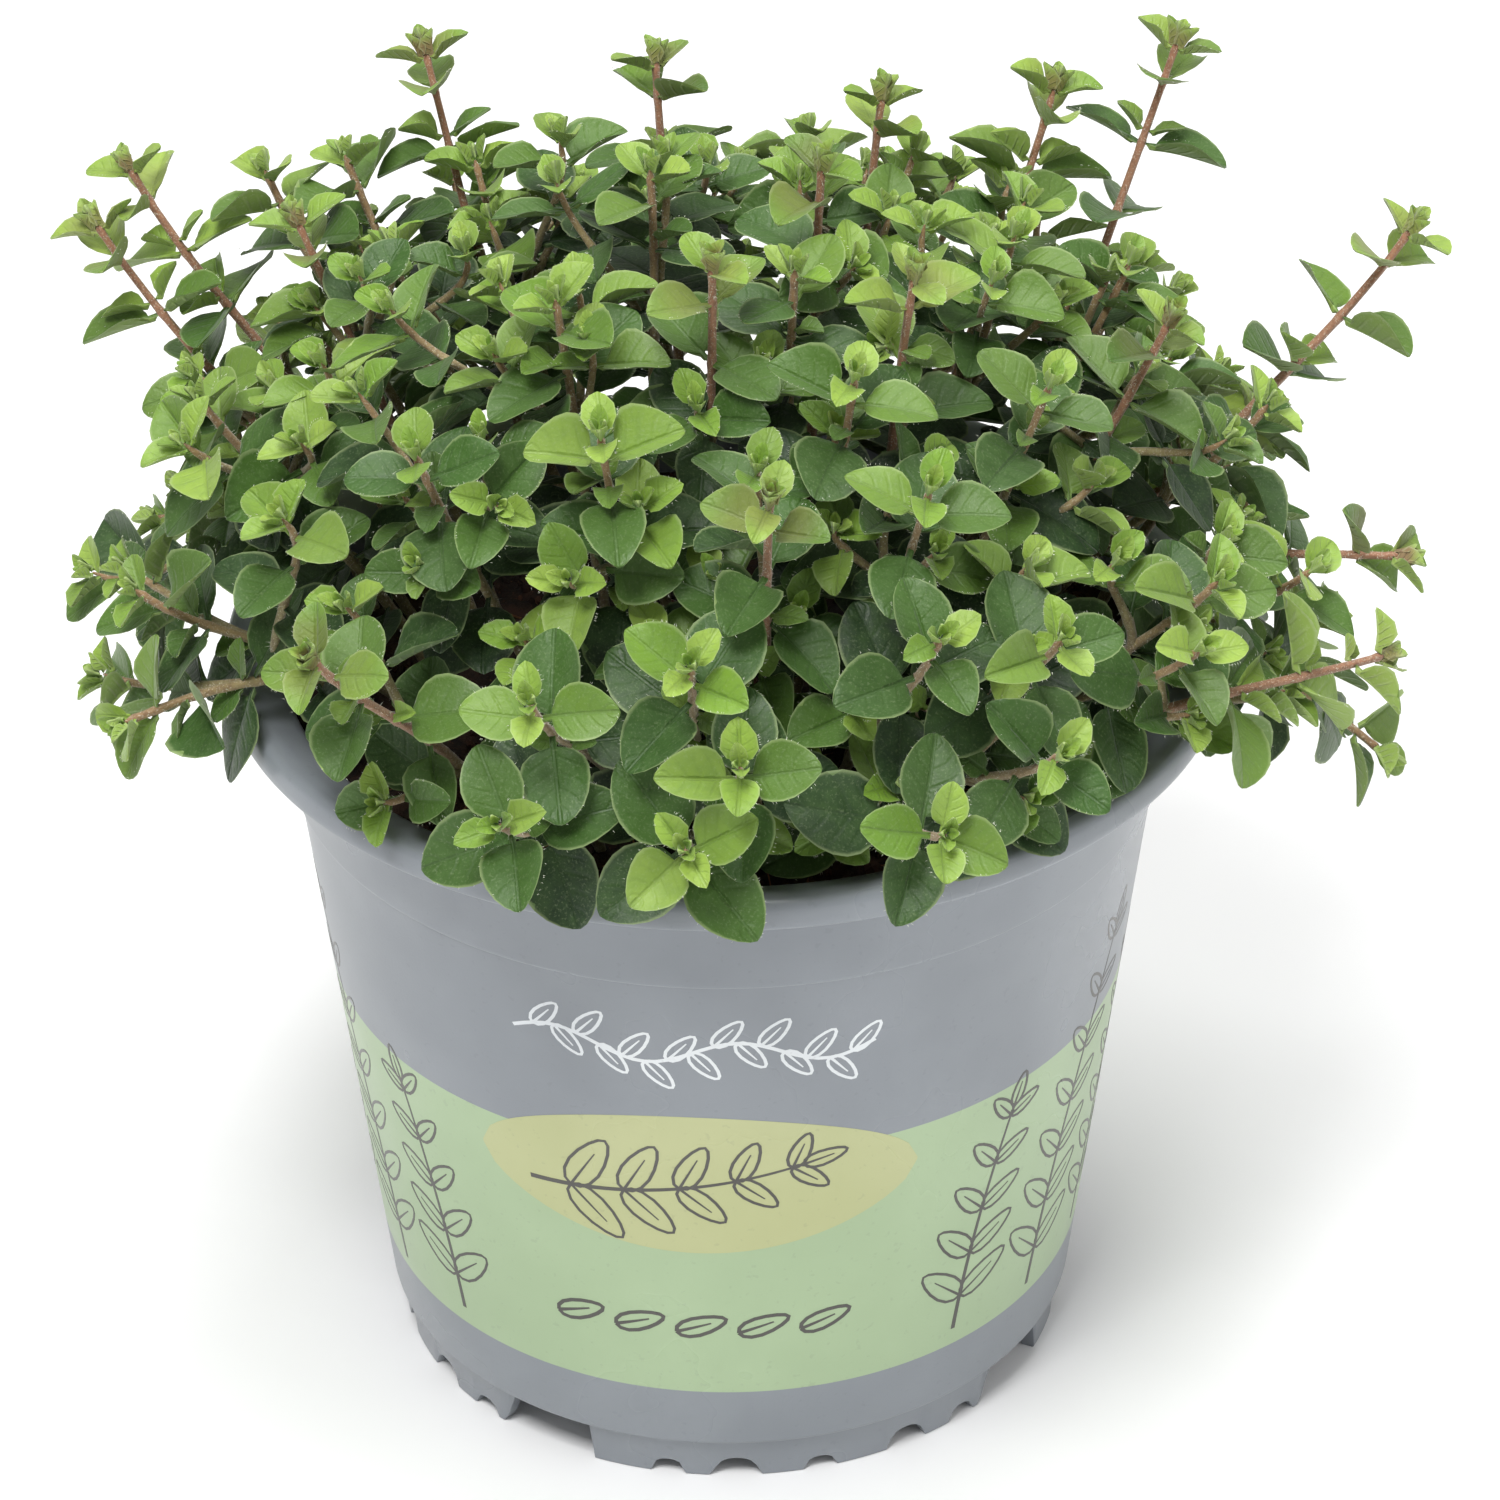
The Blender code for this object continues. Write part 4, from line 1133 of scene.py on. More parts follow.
def add_blade(growth, leaf, tones, draw, fine=True, cup=0.0):
    """One leaf with its stalk: a thin closed blade with a sunken midrib, a ridge under it and wavy sides.
    Its tones are age, shade and blush, and cup is how hollow it is across."""
    if leaf.length < SMALL_LEAF:
        grid = SMALL_GRID
    else:
        grid = FINE_GRID if fine and leaf.length > FINE_LEAF else MIDDLE_GRID
    u, v, t = grid.u, grid.v, grid.t
    x = v * half_width(t, leaf)
    phase, waves = draw.uniform(0, 2 * math.pi), draw.uniform(*WAVES)
    size = leaf.length / MATURE_LEAF
    bend = leaf.fold * np.abs(x) - leaf.curl * leaf.length * u**2
    bend += cup * x**2 / (leaf.width / 2)
    bend += WAVE * size * np.sin(phase + waves * 2 * np.pi * u) * v**3
    bend += draw.uniform(-TWIST, TWIST) * u * x
    rib = np.exp(-((x / RIB_HALF_WIDTH) ** 2)) * (1 - t) ** RIB_FADE
    lobes = np.cos(2 * np.pi * (t - VEIN_SWEEP * np.abs(v) ** VEIN_BEND) / VEIN_SPACING)
    bend += VEIN_RELIEF * size * lobes * np.abs(v) * (1 - v**2)
    thick = BLADE_THICKNESS / 2 * (1 - v**4) * (1 + FOOT_SWELL * (1 - t) ** FOOT_SWELL_FADE)
    above = bend + np.where(grid.side > 0, thick - RIB_DEPTH * rib, -thick - RIDGE_DEPTH * rib)
    above = np.where(grid.side == 0, bend, above)
    sweep = draw.uniform(-SWEEP, SWEEP) * leaf.length * u**2
    points = (
        np.array(leaf.foot)
        + (leaf.length * u)[:, None] * np.array(leaf.forward)
        + (x + sweep)[:, None] * np.array(leaf.across)
        + above[:, None] * np.array(leaf.upper)
    )
    growth.add(points, grid.quads, grid.kinds, tones, np.stack([t, x * 1000.0, v], axis=1))


def drawn(leaf, draw):
    """A leaf as it is drawn: folded more than in its solid, and a little shorter where it is long."""
    share = 1 - OLD_SHORTER * max(0.0, leaf.length - SHORT_LEAF) / SHORT_LEAF
    fold = leaf.fold + draw.uniform(0.0, MORE_FOLD)
    length, width = share * leaf.length, share * leaf.width
    return Leaf(leaf.foot, leaf.forward, leaf.upper, length, width, leaf.curl, fold)


def stem_marks(start, end, nodes):
    """Distances of a stem's rings: even ones, and three at each leaf pair, where it swells."""
    marks = [(start + (end - start) * step / STEM_STEPS, 1.0) for step in range(STEM_STEPS)]
    for node in nodes:
        marks.append((node - NODE_REACH, NODE_EDGE_SWELL))
        marks.append((node, NODE_SWELL))
        marks.append((node + NODE_REACH, NODE_EDGE_SWELL))
    marks = sorted(mark for mark in marks if start <= mark[0] < end - NODE_REACH)
    kept = marks[:1]
    for mark in marks[1:]:
        if mark[0] - kept[-1][0] > RING_SPACING:
            kept.append(mark)
    return kept + [(end, STEM_END_SHARE)]


def add_skin(growth, route, ages, blush, nodes):
    """A square stem with soft corners, thicker where leaves leave it."""
    soft = STEM_SOFTNESS
    section = (
        (1, -soft), (1, soft), (soft, 1), (-soft, 1), (-1, soft), (-1, -soft), (-soft, -1), (soft, -1),
    )
    sides = len(section)
    points, tones = [], []
    marks = stem_marks(0.0, route.length, nodes)
    for distance, swell in marks:
        centre, tangent, side = route.at(distance)
        other = tangent.cross(side)
        half = route.half_width(distance) * swell * SKIN_SHARE
        share = distance / route.length
        for a, b in section:
            points.append(tuple(centre + half * (a * side + b * other)))
            tones.append((ages[0] + (ages[1] - ages[0]) * share, 0.5, blush * share))
    quads = ring_quads(len(marks), sides)
    last = (len(marks) - 1) * sides
    for k in (1, 3, 5):
        quads.append((k + 2, k + 1, k, 0))
        quads.append((last, last + k, last + k + 1, last + k + 2))
    growth.add(points, quads, SKIN, np.array(tones))


def add_hairs(growth, hairs):
    """Hairs as slim closed spikes with three sides, from (foot, direction, length) of each."""
    if not hairs:
        return
    feet = np.array([foot for foot, _, _ in hairs])
    ways = np.array([way for _, way, _ in hairs])
    lengths = np.array([length for _, _, length in hairs])
    ways /= np.linalg.norm(ways, axis=1)[:, None]
    helper = np.where(np.abs(ways[:, 2:3]) > 0.8, [[1.0, 0.0, 0.0]], [[0.0, 0.0, 1.0]])
    a = np.cross(ways, helper)
    a /= np.linalg.norm(a, axis=1)[:, None]
    b = np.cross(ways, a)
    corners = []
    for corner in range(3):
        turn = 2 * math.pi * corner / 3
        corners.append(feet + HAIR_RADIUS * (math.cos(turn) * a + math.sin(turn) * b))
    points = np.stack([*corners, feet + ways * lengths[:, None]], axis=1).reshape(-1, 3)
    first = 4 * np.arange(len(feet))
    faces = ((0, 1, 3, 3), (1, 2, 3, 3), (2, 0, 3, 3), (1, 0, 2, 2))
    quads = np.concatenate([first[:, None] + np.array(face) for face in faces])
    growth.add(points, quads, HAIR)


def stem_hairs(route, start, end, per_length, draw):
    """Hairs that stand off a stem between two distances."""
    hairs = []
    for _ in range(int((end - start) * per_length)):
        distance = draw.uniform(start, end)
        centre, tangent, side = route.at(distance)
        turn = draw.uniform(0, 2 * math.pi)
        way = math.cos(turn) * side + math.sin(turn) * tangent.cross(side)
        foot = centre + way * route.half_width(distance) * STEM_HAIR_SINK
        slant = draw.uniform(-STEM_HAIR_SLANT, STEM_HAIR_SLANT)
        way = way + tangent * slant - STEM_HAIR_DROOP * UP
        hairs.append((tuple(foot), tuple(way), draw.uniform(*STEM_HAIR)))
    return hairs


def leaf_hairs(leaf, draw, count, cup):
    """The fringe round a leaf."""
    hairs = []
    for _ in range(count):
        t = draw.uniform(*RIM_HAIR_PLACE)
        u = STALK_SHARE + t * (1 - STALK_SHARE)
        v = draw.choice((-1, 1))
        side = v * float(half_width(t, leaf))
        bend = leaf.fold * abs(side) - leaf.curl * leaf.length * u**2 + cup * side**2 / (leaf.width / 2)
        foot = leaf.foot + leaf.forward * (u * leaf.length)
        foot = foot + leaf.across * side * RIM_HAIR_SINK + leaf.upper * bend
        way = leaf.across * v + leaf.forward * draw.uniform(*RIM_HAIR_AHEAD)
        way = way + leaf.upper * draw.uniform(*RIM_HAIR_ABOVE)
        hairs.append((tuple(foot), tuple(way), draw.uniform(*RIM_HAIR)))
    return hairs


def add_tuft(growth, stem, layers, cup, curl, blush, draw):
    """Small facing leaves that a shoot ends in, pair by pair. layers is the height above the tip, length
    and pitch of each pair."""
    route = stem["route"]
    tip, tangent, side = route.at(route.length)
    other = tangent.cross(side)
    for layer, (above, length, pitch) in enumerate(layers):
        for half_turn in range(2):
            angle = (layer % 2) * math.pi / 2 + half_turn * math.pi + draw.uniform(-TUFT_TURN, TUFT_TURN)
            normal = math.cos(angle) * side + math.sin(angle) * other
            tilt = math.radians(pitch + draw.uniform(-TUFT_TILT, TUFT_TILT))
            forward, upper = tilted(normal, tangent, tilt)
            size = length * draw.uniform(*TUFT_SIZE)
            foot = tip + tangent * (above - TUFT_SINK) + normal * TUFT_OUT
            leaf = Leaf(foot, forward, upper, size, size * TUFT_WIDTH_SHARE, curl, TUFT_FOLD)
            tones = (draw.uniform(0.0, TUFT_AGE), draw.random(), blush)
            add_blade(growth, leaf, tones, draw, False, cup)


def rank_and_age(number, last):
    """How many pairs a leaf stands under the tip, and how old it looks. Inner leaves have numbers below
    zero, and those in the corners of others have numbers from AXIL_KEY on."""
    if number >= AXIL_KEY:
        return AXIL_RANK, AXIL_AGE
    oldest = len(AGE_BY_RANK) - 1
    rank = last - number if number >= 0 else oldest
    return rank, AGE_BY_RANK[min(rank, oldest)]


def dress_stem(growth, stem, draw, flush):
    """All of one stem's or side shoot's parts. flush is how pale its growth is."""
    route, nodes, kind = stem["route"], stem["nodes"], stem["kind"]
    spire = kind == "spire"
    add_skin(growth, route, STEM_AGES, STEM_BLUSH[kind], [distance for distance, _, _ in nodes])
    if kind == "branch":
        hairs = stem_hairs(route, BRANCH_HAIR_START * route.length, route.length, BRANCH_HAIRS, draw)
    else:
        middle = TOP_HAIR_START * route.length
        hairs = stem_hairs(route, middle, route.length, TOP_HAIRS, draw)
        hairs += stem_hairs(route, HOLE_DEPTH, middle, LOW_HAIRS, draw)
    for (number, _), laid in stem["leaves"].items():
        leaf = drawn(laid, draw)
        rank, age = rank_and_age(number, len(nodes) - 1)
        if spire:
            age *= SPIRE_AGE
        age = min(1.0, max(0.0, age + flush + draw.uniform(-AGE_DRIFT, AGE_DRIFT)))
        cup = draw.uniform(*YOUNG_CUP) * (1 - age) + draw.uniform(*OLD_CUP) * age
        blush = draw.uniform(*BUD_BLUSH) if spire and rank < 2 else 0.0
        add_blade(growth, leaf, (age, draw.random(), blush), draw, rank < 4, cup)
        if rank < 3 and leaf.length > HAIRY_LEAF:
            hairs += leaf_hairs(leaf, draw, RIM_HAIRS, cup)
    if spire:
        add_tuft(growth, stem, SPIRE_TUFT, *SPIRE_TUFT_FORM, draw.uniform(*TIP_BLUSH), draw)
    else:
        add_tuft(growth, stem, ROSETTE_TUFT, *ROSETTE_TUFT_FORM, 0.0, draw)
    add_hairs(growth, hairs)


# Pot


def rounded(corners, softness):
    """An outline of (radius, height) with each of its corners softened by its own amount."""
    outline = []
    for index, soft in enumerate(softness):
        corner = Vector(corners[index])
        if soft == 0.0:
            outline.append(corner)
            continue
        before = Vector(corners[index - 1]) - corner
        after = Vector(corners[index + 1]) - corner
        start = corner + before.normalized() * min(soft, before.length * SOFT_LIMIT)
        end = corner + after.normalized() * min(soft, after.length * SOFT_LIMIT)
        for step in range(SOFT_STEPS + 1):
            share = step / SOFT_STEPS
            outline.append((1 - share) ** 2 * start + 2 * share * (1 - share) * corner + share**2 * end)
    return outline


def wall_radius(height):
    """Radius of the pot's outer wall between its foot and its step."""
    return BASE_RADIUS + (height - BASE_HEIGHT) / (STEP_HEIGHT - BASE_HEIGHT) * (STEP_RADIUS - BASE_RADIUS)


def inner_radius(height):
    """Radius of the pot's inside at a height, which follows the outer wall."""
    share = (height - BASE_HEIGHT) / (POT_HEIGHT - LIP_HEIGHT - BASE_HEIGHT)
    return BASE_RADIUS + share * (COLLAR_RADIUS - BASE_RADIUS) - WALL - WALL_SLACK


def foot_level(degrees):
    """Height of the foot ring's lower edge: round arches in broad feet, and a wide gap between the feet."""
    turn = (degrees - FOOT_START) % 90.0 + FOOT_START
    level = 0.0
    for middle, half, height in ARCHES:
        off = abs(turn - middle) / half
        if off < 1:
            level = height * math.sqrt(1 - off**ARCH_POWER)
    off = abs(turn - GAP_MIDDLE) / GAP_HALF
    return GAP_HEIGHT * min(1.0, GAP_STEEPNESS * (1 - off)) if off < 1 else level


def pot_outline():
    """The pot's outline as (radius, height) from under its floor, round the outside, to its inside, and
    where the printed band lies in it."""
    lip_foot = POT_HEIGHT - LIP_HEIGHT
    floor = BASE_HEIGHT + FLOOR
    low = (
        (0.0, UNDER_FLOOR),
        (FOOT_RADIUS - WALL - FOOT_SETBACK, UNDER_FLOOR),
        (FOOT_RADIUS - WALL - FOOT_TOE_SETBACK, 0.0),
        (FOOT_RADIUS - FOOT_TAPER, 0.0),
        (FOOT_RADIUS, UNDER_FLOOR),
        (FOOT_RADIUS + SMALL_STEP, BASE_HEIGHT),
        (BASE_RADIUS, BASE_HEIGHT),
        (wall_radius(BAND_LOW), BAND_LOW),
    )
    high = (
        (wall_radius(BAND_HIGH), BAND_HIGH),
        (STEP_RADIUS, STEP_HEIGHT - SMALL_STEP),
        (COLLAR_FOOT_RADIUS, STEP_HEIGHT + SMALL_STEP),
        (COLLAR_RADIUS, lip_foot + COLLAR_TOP_DROP),
        (LIP_RADIUS - SMALL_STEP, lip_foot),
        (LIP_RADIUS, lip_foot + LIP_CHEEK),
        (LIP_RADIUS - LIP_TOP_OUTSIDE, POT_HEIGHT),
        (LIP_RADIUS - LIP_TOP_INSIDE - LIP_TOP_WIDTH, POT_HEIGHT),
        (inner_radius(lip_foot), POT_HEIGHT - LIP_INSIDE_DROP),
        (inner_radius(floor), floor),
        (0.0, floor),
    )
    low = rounded(low, LOW_SOFTNESS)
    return low + rounded(high, HIGH_SOFTNESS), len(low) - 1


def turned_quads(rings, sides):
    """Faces of a turned body, whose first two points are the middles of its lower and its upper end."""
    quads = []
    last = 2 + (rings - 1) * sides
    for side in range(sides):
        after = (side + 1) % sides
        quads += [(2 + after, 2 + side, 0, 0), (last + side, last + after, 1, 1)]
        for low in range(2, last, sides):
            quads.append((low + side, low + after, low + sides + after, low + sides + side))
    return quads


def add_pot(materials):
    """The pot in place of its solid, with the pale band of its print as faces of its wall."""
    outline, band = pot_outline()
    growth = Growth(materials)
    points = [(0.0, 0.0, outline[0].y), (0.0, 0.0, outline[-1].y)]
    for radius, height in outline[1:-1]:
        for side in range(POT_SIDES):
            degrees = 360.0 * side / POT_SIDES
            angle = math.radians(degrees - 90.0)
            level = height
            if height < UNDER_FLOOR:
                lift = foot_level(degrees)
                level = lift + height * (1 - lift / UNDER_FLOOR)
            points.append((radius * math.cos(angle), radius * math.sin(angle), level))
    rings = len(outline) - 2
    plain, printed = 0, 1
    kinds = [plain, plain] + [printed if ring == band - 1 else plain for ring in range(rings - 1)]
    growth.add(points, turned_quads(rings, POT_SIDES), kinds * POT_SIDES)
    pot = growth.make("pot_shell", SHARP_POT_ANGLE)
    cut_drains(pot)
    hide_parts("pot")


def cut_drains(pot):
    """Cuts the drain holes through the pot's floor."""
    points, faces = [], []
    for hole in range(DRAINS):
        angle = 2 * math.pi * (hole + DRAIN_TURN) / DRAINS
        middle = POT_AXIS + Vector((math.cos(angle), math.sin(angle), 0.0)) * DRAIN_RING
        first = len(points)
        for height in DRAIN_CUT:
            for side in range(DRAIN_SIDES):
                turn = 2 * math.pi * side / DRAIN_SIDES
                out = Vector((math.cos(turn), math.sin(turn), 0.0)) * DRAIN_RADIUS
                points.append(middle + out + UP * height)
        middle_point = first + DRAIN_SIDES
        faces += [tuple(reversed(range(first, middle_point))), tuple(range(middle_point, len(points)))]
        faces += ring_quads(2, DRAIN_SIDES, first)
    mesh = bpy.data.meshes.new("drain_cutter")
    mesh.from_pydata(points, [], faces)
    cutter = bpy.data.objects.new("drain_cutter", mesh)
    bpy.context.scene.collection.objects.link(cutter)
    cut = pot.modifiers.new("drains", "BOOLEAN")
    cut.operation = "DIFFERENCE"
    cut.object = cutter
    cut_pot = pot.evaluated_get(bpy.context.evaluated_depsgraph_get())
    cut_mesh = bpy.data.meshes.new_from_object(cut_pot)
    pot.modifiers.clear()
    pot.data = cut_mesh
    bpy.data.objects.remove(cutter)


# Print on the pot


def on_wall(across, height, lift):
    """A point of the pot's wall, at a distance round it from the front and a height."""
    angle = across / PRINT_RADIUS - math.pi / 2
    radius = wall_radius(height) + lift
    return radius * math.cos(angle), radius * math.sin(angle), height


def add_ribbon(growth, route, widths, ink, layer=0):
    """A thin closed strip of ink along a route of (across, height) on the wall, over that many others."""
    points = []
    last = len(route) - 1
    for index, (across, height) in enumerate(route):
        before, after = Vector(route[max(0, index - 1)]), Vector(route[min(last, index + 1)])
        way = (after - before).normalized() * widths[index] / 2
        left, right = (across - way.y, height + way.x), (across + way.y, height - way.x)
        outside = INK_DEPTH * (1 + layer)
        for (x, y), lift in ((left, -INK_DEPTH), (right, -INK_DEPTH), (right, outside), (left, outside)):
            points.append(on_wall(x, y, lift))
    quads = [(0, 1, 2, 3), (4 * last + 1, 4 * last, 4 * last + 3, 4 * last + 2)]
    for index in range(last):
        a, b = 4 * index, 4 * index + 4
        quads += [
            (a + 2, b + 2, b + 3, a + 3),
            (a, b, b + 1, a + 1),
            (a + 1, b + 1, b + 2, a + 2),
            (b, a, a + 3, b + 3),
        ]
    growth.add(points, quads, ink)


def add_drawn_leaf(growth, foot, angle, length, stroke, ink, layer):
    """A drawn leaf: its outline and a short midrib."""
    way, side = Vector((math.cos(angle), math.sin(angle))), Vector((-math.sin(angle), math.cos(angle)))
    route = []
    for step in range(DRAWN_STEPS + 1):
        turn = 2 * math.pi * step / DRAWN_STEPS
        share = (1 - math.cos(turn)) / 2
        spread = DRAWN_HALF_WIDTH * length * math.sin(turn) * (DRAWN_TAPER[0] - DRAWN_TAPER[1] * share)
        route.append(tuple(foot + way * length * share + side * spread))
    add_ribbon(growth, route, [stroke] * len(route), ink, layer)
    rib = [tuple(foot + way * length * share) for share in RIB_SHARES]
    widths = [stroke * (1 - RIB_THINNING * step) for step in range(len(rib))]
    add_ribbon(growth, rib, widths, ink, layer)


def add_twig(growth, foot, way, length, pairs, leaf, ink, layer=0, bow=TWIG_BOW):
    """A drawn twig with leaf pairs that grow smaller to its tip. way is its angle, bow how far it bends."""
    foot, side = Vector(foot), Vector((-math.sin(way), math.cos(way)))
    ahead = Vector((math.cos(way), math.sin(way)))
    shares = [step / TWIG_STEPS for step in range(TWIG_STEPS + 1)]
    route = [tuple(foot + ahead * length * share + side * bow * length * share**2) for share in shares]
    widths = [STROKE * (TWIG_STROKE[0] - TWIG_STROKE[1] * share) for share in shares]
    add_ribbon(growth, route, widths, ink, layer)
    for pair in range(pairs):
        share = (pair + TWIG_FIRST_PAIR) / pairs
        place = foot + ahead * length * share + side * bow * length * share**2
        turn = way + math.atan(2 * bow * share)
        size = leaf * (TWIG_LEAF[0] - TWIG_LEAF[1] * share)
        for spread in (-DRAWN_SPREAD, DRAWN_SPREAD):
            add_drawn_leaf(growth, place, turn + spread, size, STROKE, ink, layer)
    turn = way + math.atan(2 * bow)
    add_drawn_leaf(growth, Vector(route[-1]), turn, leaf * TWIG_END_LEAF, STROKE, ink, layer)


def add_panel(growth, middle, ground, ink):
    """A pale panel with pointed ends and a twig on it."""
    route, widths = [], []
    for step in range(PANEL_STEPS + 1):
        share = step / PANEL_STEPS
        route.append((middle + PANEL_LENGTH * (share - 0.5), PANEL_HEIGHT))
        fullness = math.sin(math.pi * share) ** PANEL_FULLNESS
        widths.append(PANEL_WIDTH * (PANEL_END_WIDTH + (1 - PANEL_END_WIDTH) * fullness))
    add_ribbon(growth, route, widths, ground)
    foot = (middle + PANEL_TWIG_FOOT[0], PANEL_HEIGHT + PANEL_TWIG_FOOT[1])
    add_twig(growth, foot, PANEL_TWIG_WAY, PANEL_TWIG_LENGTH, PANEL_TWIG_PAIRS, PANEL_TWIG_LEAF, ink, 1)


def add_garland(growth, middle, ink):
    """A wavy line with leaves on either side in turn."""
    garland = []
    for step in range(GARLAND_STEPS + 1):
        share = step / GARLAND_STEPS
        height = GARLAND_HEIGHT + GARLAND_WAVE * math.sin(4 * math.pi * share)
        garland.append((middle + GARLAND_LENGTH * (share - 0.5), height))
    add_ribbon(growth, garland, [GARLAND_STROKE] * len(garland), ink)
    for step in range(2, GARLAND_STEPS, 2):
        way = math.copysign(GARLAND_LEAF_WAY, (step // 2) % 2 - 0.5)
        add_drawn_leaf(growth, Vector(garland[step]), way, GARLAND_LEAF, STROKE, ink, 0)


def add_print(materials):
    """The print, front and back alike: a pale panel with a twig on it, a white garland over it, a row of
    leaves under it, and a border of upright twigs between the two panels."""
    yellow, white, dark = range(3)
    growth = Growth(materials)
    for middle in (PANEL_MIDDLE, PANEL_MIDDLE + math.pi * PRINT_RADIUS):
        add_panel(growth, middle, yellow, dark)
        add_garland(growth, middle, white)
        for step in range(-2, 3):
            foot = Vector((middle + LEAF_ROW_SPACING * step + LEAF_ROW_START, LEAF_ROW_HEIGHT))
            add_drawn_leaf(growth, foot, LEAF_ROW_WAY, LEAF_ROW_LEAF, LEAF_ROW_STROKE, dark, 0)
        for side in (-1, 1):
            for number, (away, foot, tall, pairs, bow) in enumerate(BORDER_TWIGS):
                place = (middle + side * away, foot)
                way = math.pi / 2 - side * (BORDER_LEAN[0] + BORDER_LEAN[1] * number)
                add_twig(growth, place, way, tall, pairs, BORDER_LEAF, dark, 0, -side * bow)
    growth.make("pot_print", SHARP_POT_ANGLE)


# Soil


def soil_height(x, y):
    """Height of the loose soil's surface."""
    rough = noise.fractal(Vector((x, y, 0.0)) * SOIL_GRAIN, 0.9, 2.1, 4)
    edge = max(0.0, math.hypot(x, y) / inner_radius(SOIL_TOP) - SOIL_EDGE)
    return SOIL_TOP + SOIL_ROUGHNESS * rough - SOIL_EDGE_SLOPE * edge


def add_soil(materials, draw):
    """The soil in place of its solid, with crumbs and fibres on its uneven top. rings are (radius, height),
    without a height where they lie on the surface."""
    growth = Growth(materials)
    base = BASE_HEIGHT + FLOOR + GAP
    top_radius = inner_radius(SOIL_TOP) - 2 * GAP
    points = [(0.0, 0.0, base), (0.0, 0.0, soil_height(0.0, 0.0))]
    rings = [(inner_radius(base) - 2 * GAP, base)]
    rings.append((top_radius - SOIL_SHOULDER_SETBACK, SOIL_TOP - SOIL_SHOULDER))
    for ring in range(SOIL_RINGS):
        rings.append((top_radius * (1 - (ring / SOIL_RINGS) ** SOIL_RING_POWER), None))
    for radius, height in rings:
        for side in range(SOIL_SIDES):
            angle = 2 * math.pi * side / SOIL_SIDES
            x, y = radius * math.cos(angle), radius * math.sin(angle)
            points.append((x, y, soil_height(x, y) if height is None else height))
    growth.add(points, turned_quads(len(rings), SOIL_SIDES), 0)
    for _ in range(CRUMBS):
        place = soil_place(draw, top_radius)
        size = CRUMB_SIZE * draw.lognormvariate(0.0, CRUMB_SPREAD)
        add_crumb(growth, place, min(size, CRUMB_LIMIT), draw)
    for _ in range(FIBRES):
        add_fibre(growth, soil_place(draw, top_radius - FIBRE_MARGIN), draw)
    soil = growth.make("soil_crumbs", SHARP_CRUMB_ANGLE)
    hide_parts("soil")


def soil_place(draw, radius):
    """A point on the soil's surface, more often near the rim, where it shows."""
    turn = draw.uniform(0, 2 * math.pi)
    reach = (radius - CRUMB_MARGIN) * draw.random() ** TOWARDS_RIM
    x, y = reach * math.cos(turn), reach * math.sin(turn)
    return Vector((x, y, soil_height(x, y)))


def add_crumb(growth, place, size, draw):
    """A lump of soil: a stretched octahedron with split faces and uneven corners."""
    turn = Quaternion([draw.gauss(0, 1) for _ in range(4)]).normalized()
    stretch = Vector([draw.uniform(*span) for span in CRUMB_STRETCH]) * size
    points = []
    for corner in CRUMB_POINTS:
        uneven = Vector(corner) * stretch * draw.uniform(*CRUMB_UNEVENNESS)
        points.append(tuple(place + turn @ uneven))
    growth.add(points, CRUMB_FACES, 0, (draw.random(), draw.random(), 0.0))


def add_fibre(growth, place, draw):
    """A thin bent strand of coir."""
    turn, rise = draw.uniform(0, 2 * math.pi), draw.uniform(0.0, 0.5)
    way = Vector((math.cos(turn) * math.cos(rise), math.sin(turn) * math.cos(rise), math.sin(rise)))
    bend = Vector((draw.uniform(-1, 1), draw.uniform(-1, 1), -draw.uniform(0.2, 1.0)))
    length, half = draw.uniform(*FIBRE_LENGTH), draw.uniform(*FIBRE_HALF_WIDTH)
    side = way.orthogonal().normalized()
    up = way.cross(side)
    points = []
    for step in range(FIBRE_STEPS + 1):
        share = step / FIBRE_STEPS - FIBRE_START
        centre = place + way * length * share + bend * length * FIBRE_BEND * share**2 + FIBRE_LIFT * UP
        for corner in range(3):
            angle = 2 * math.pi * corner / 3
            points.append(tuple(centre + half * (math.cos(angle) * side + math.sin(angle) * up)))
    last = 3 * FIBRE_STEPS
    quads = [(2, 1, 0, 0), (last, last + 1, last + 2, last + 2), *ring_quads(FIBRE_STEPS + 1, 3)]
    growth.add(points, quads, 0, (draw.uniform(*FIBRE_TONE), draw.random(), 0.0))


# Materials


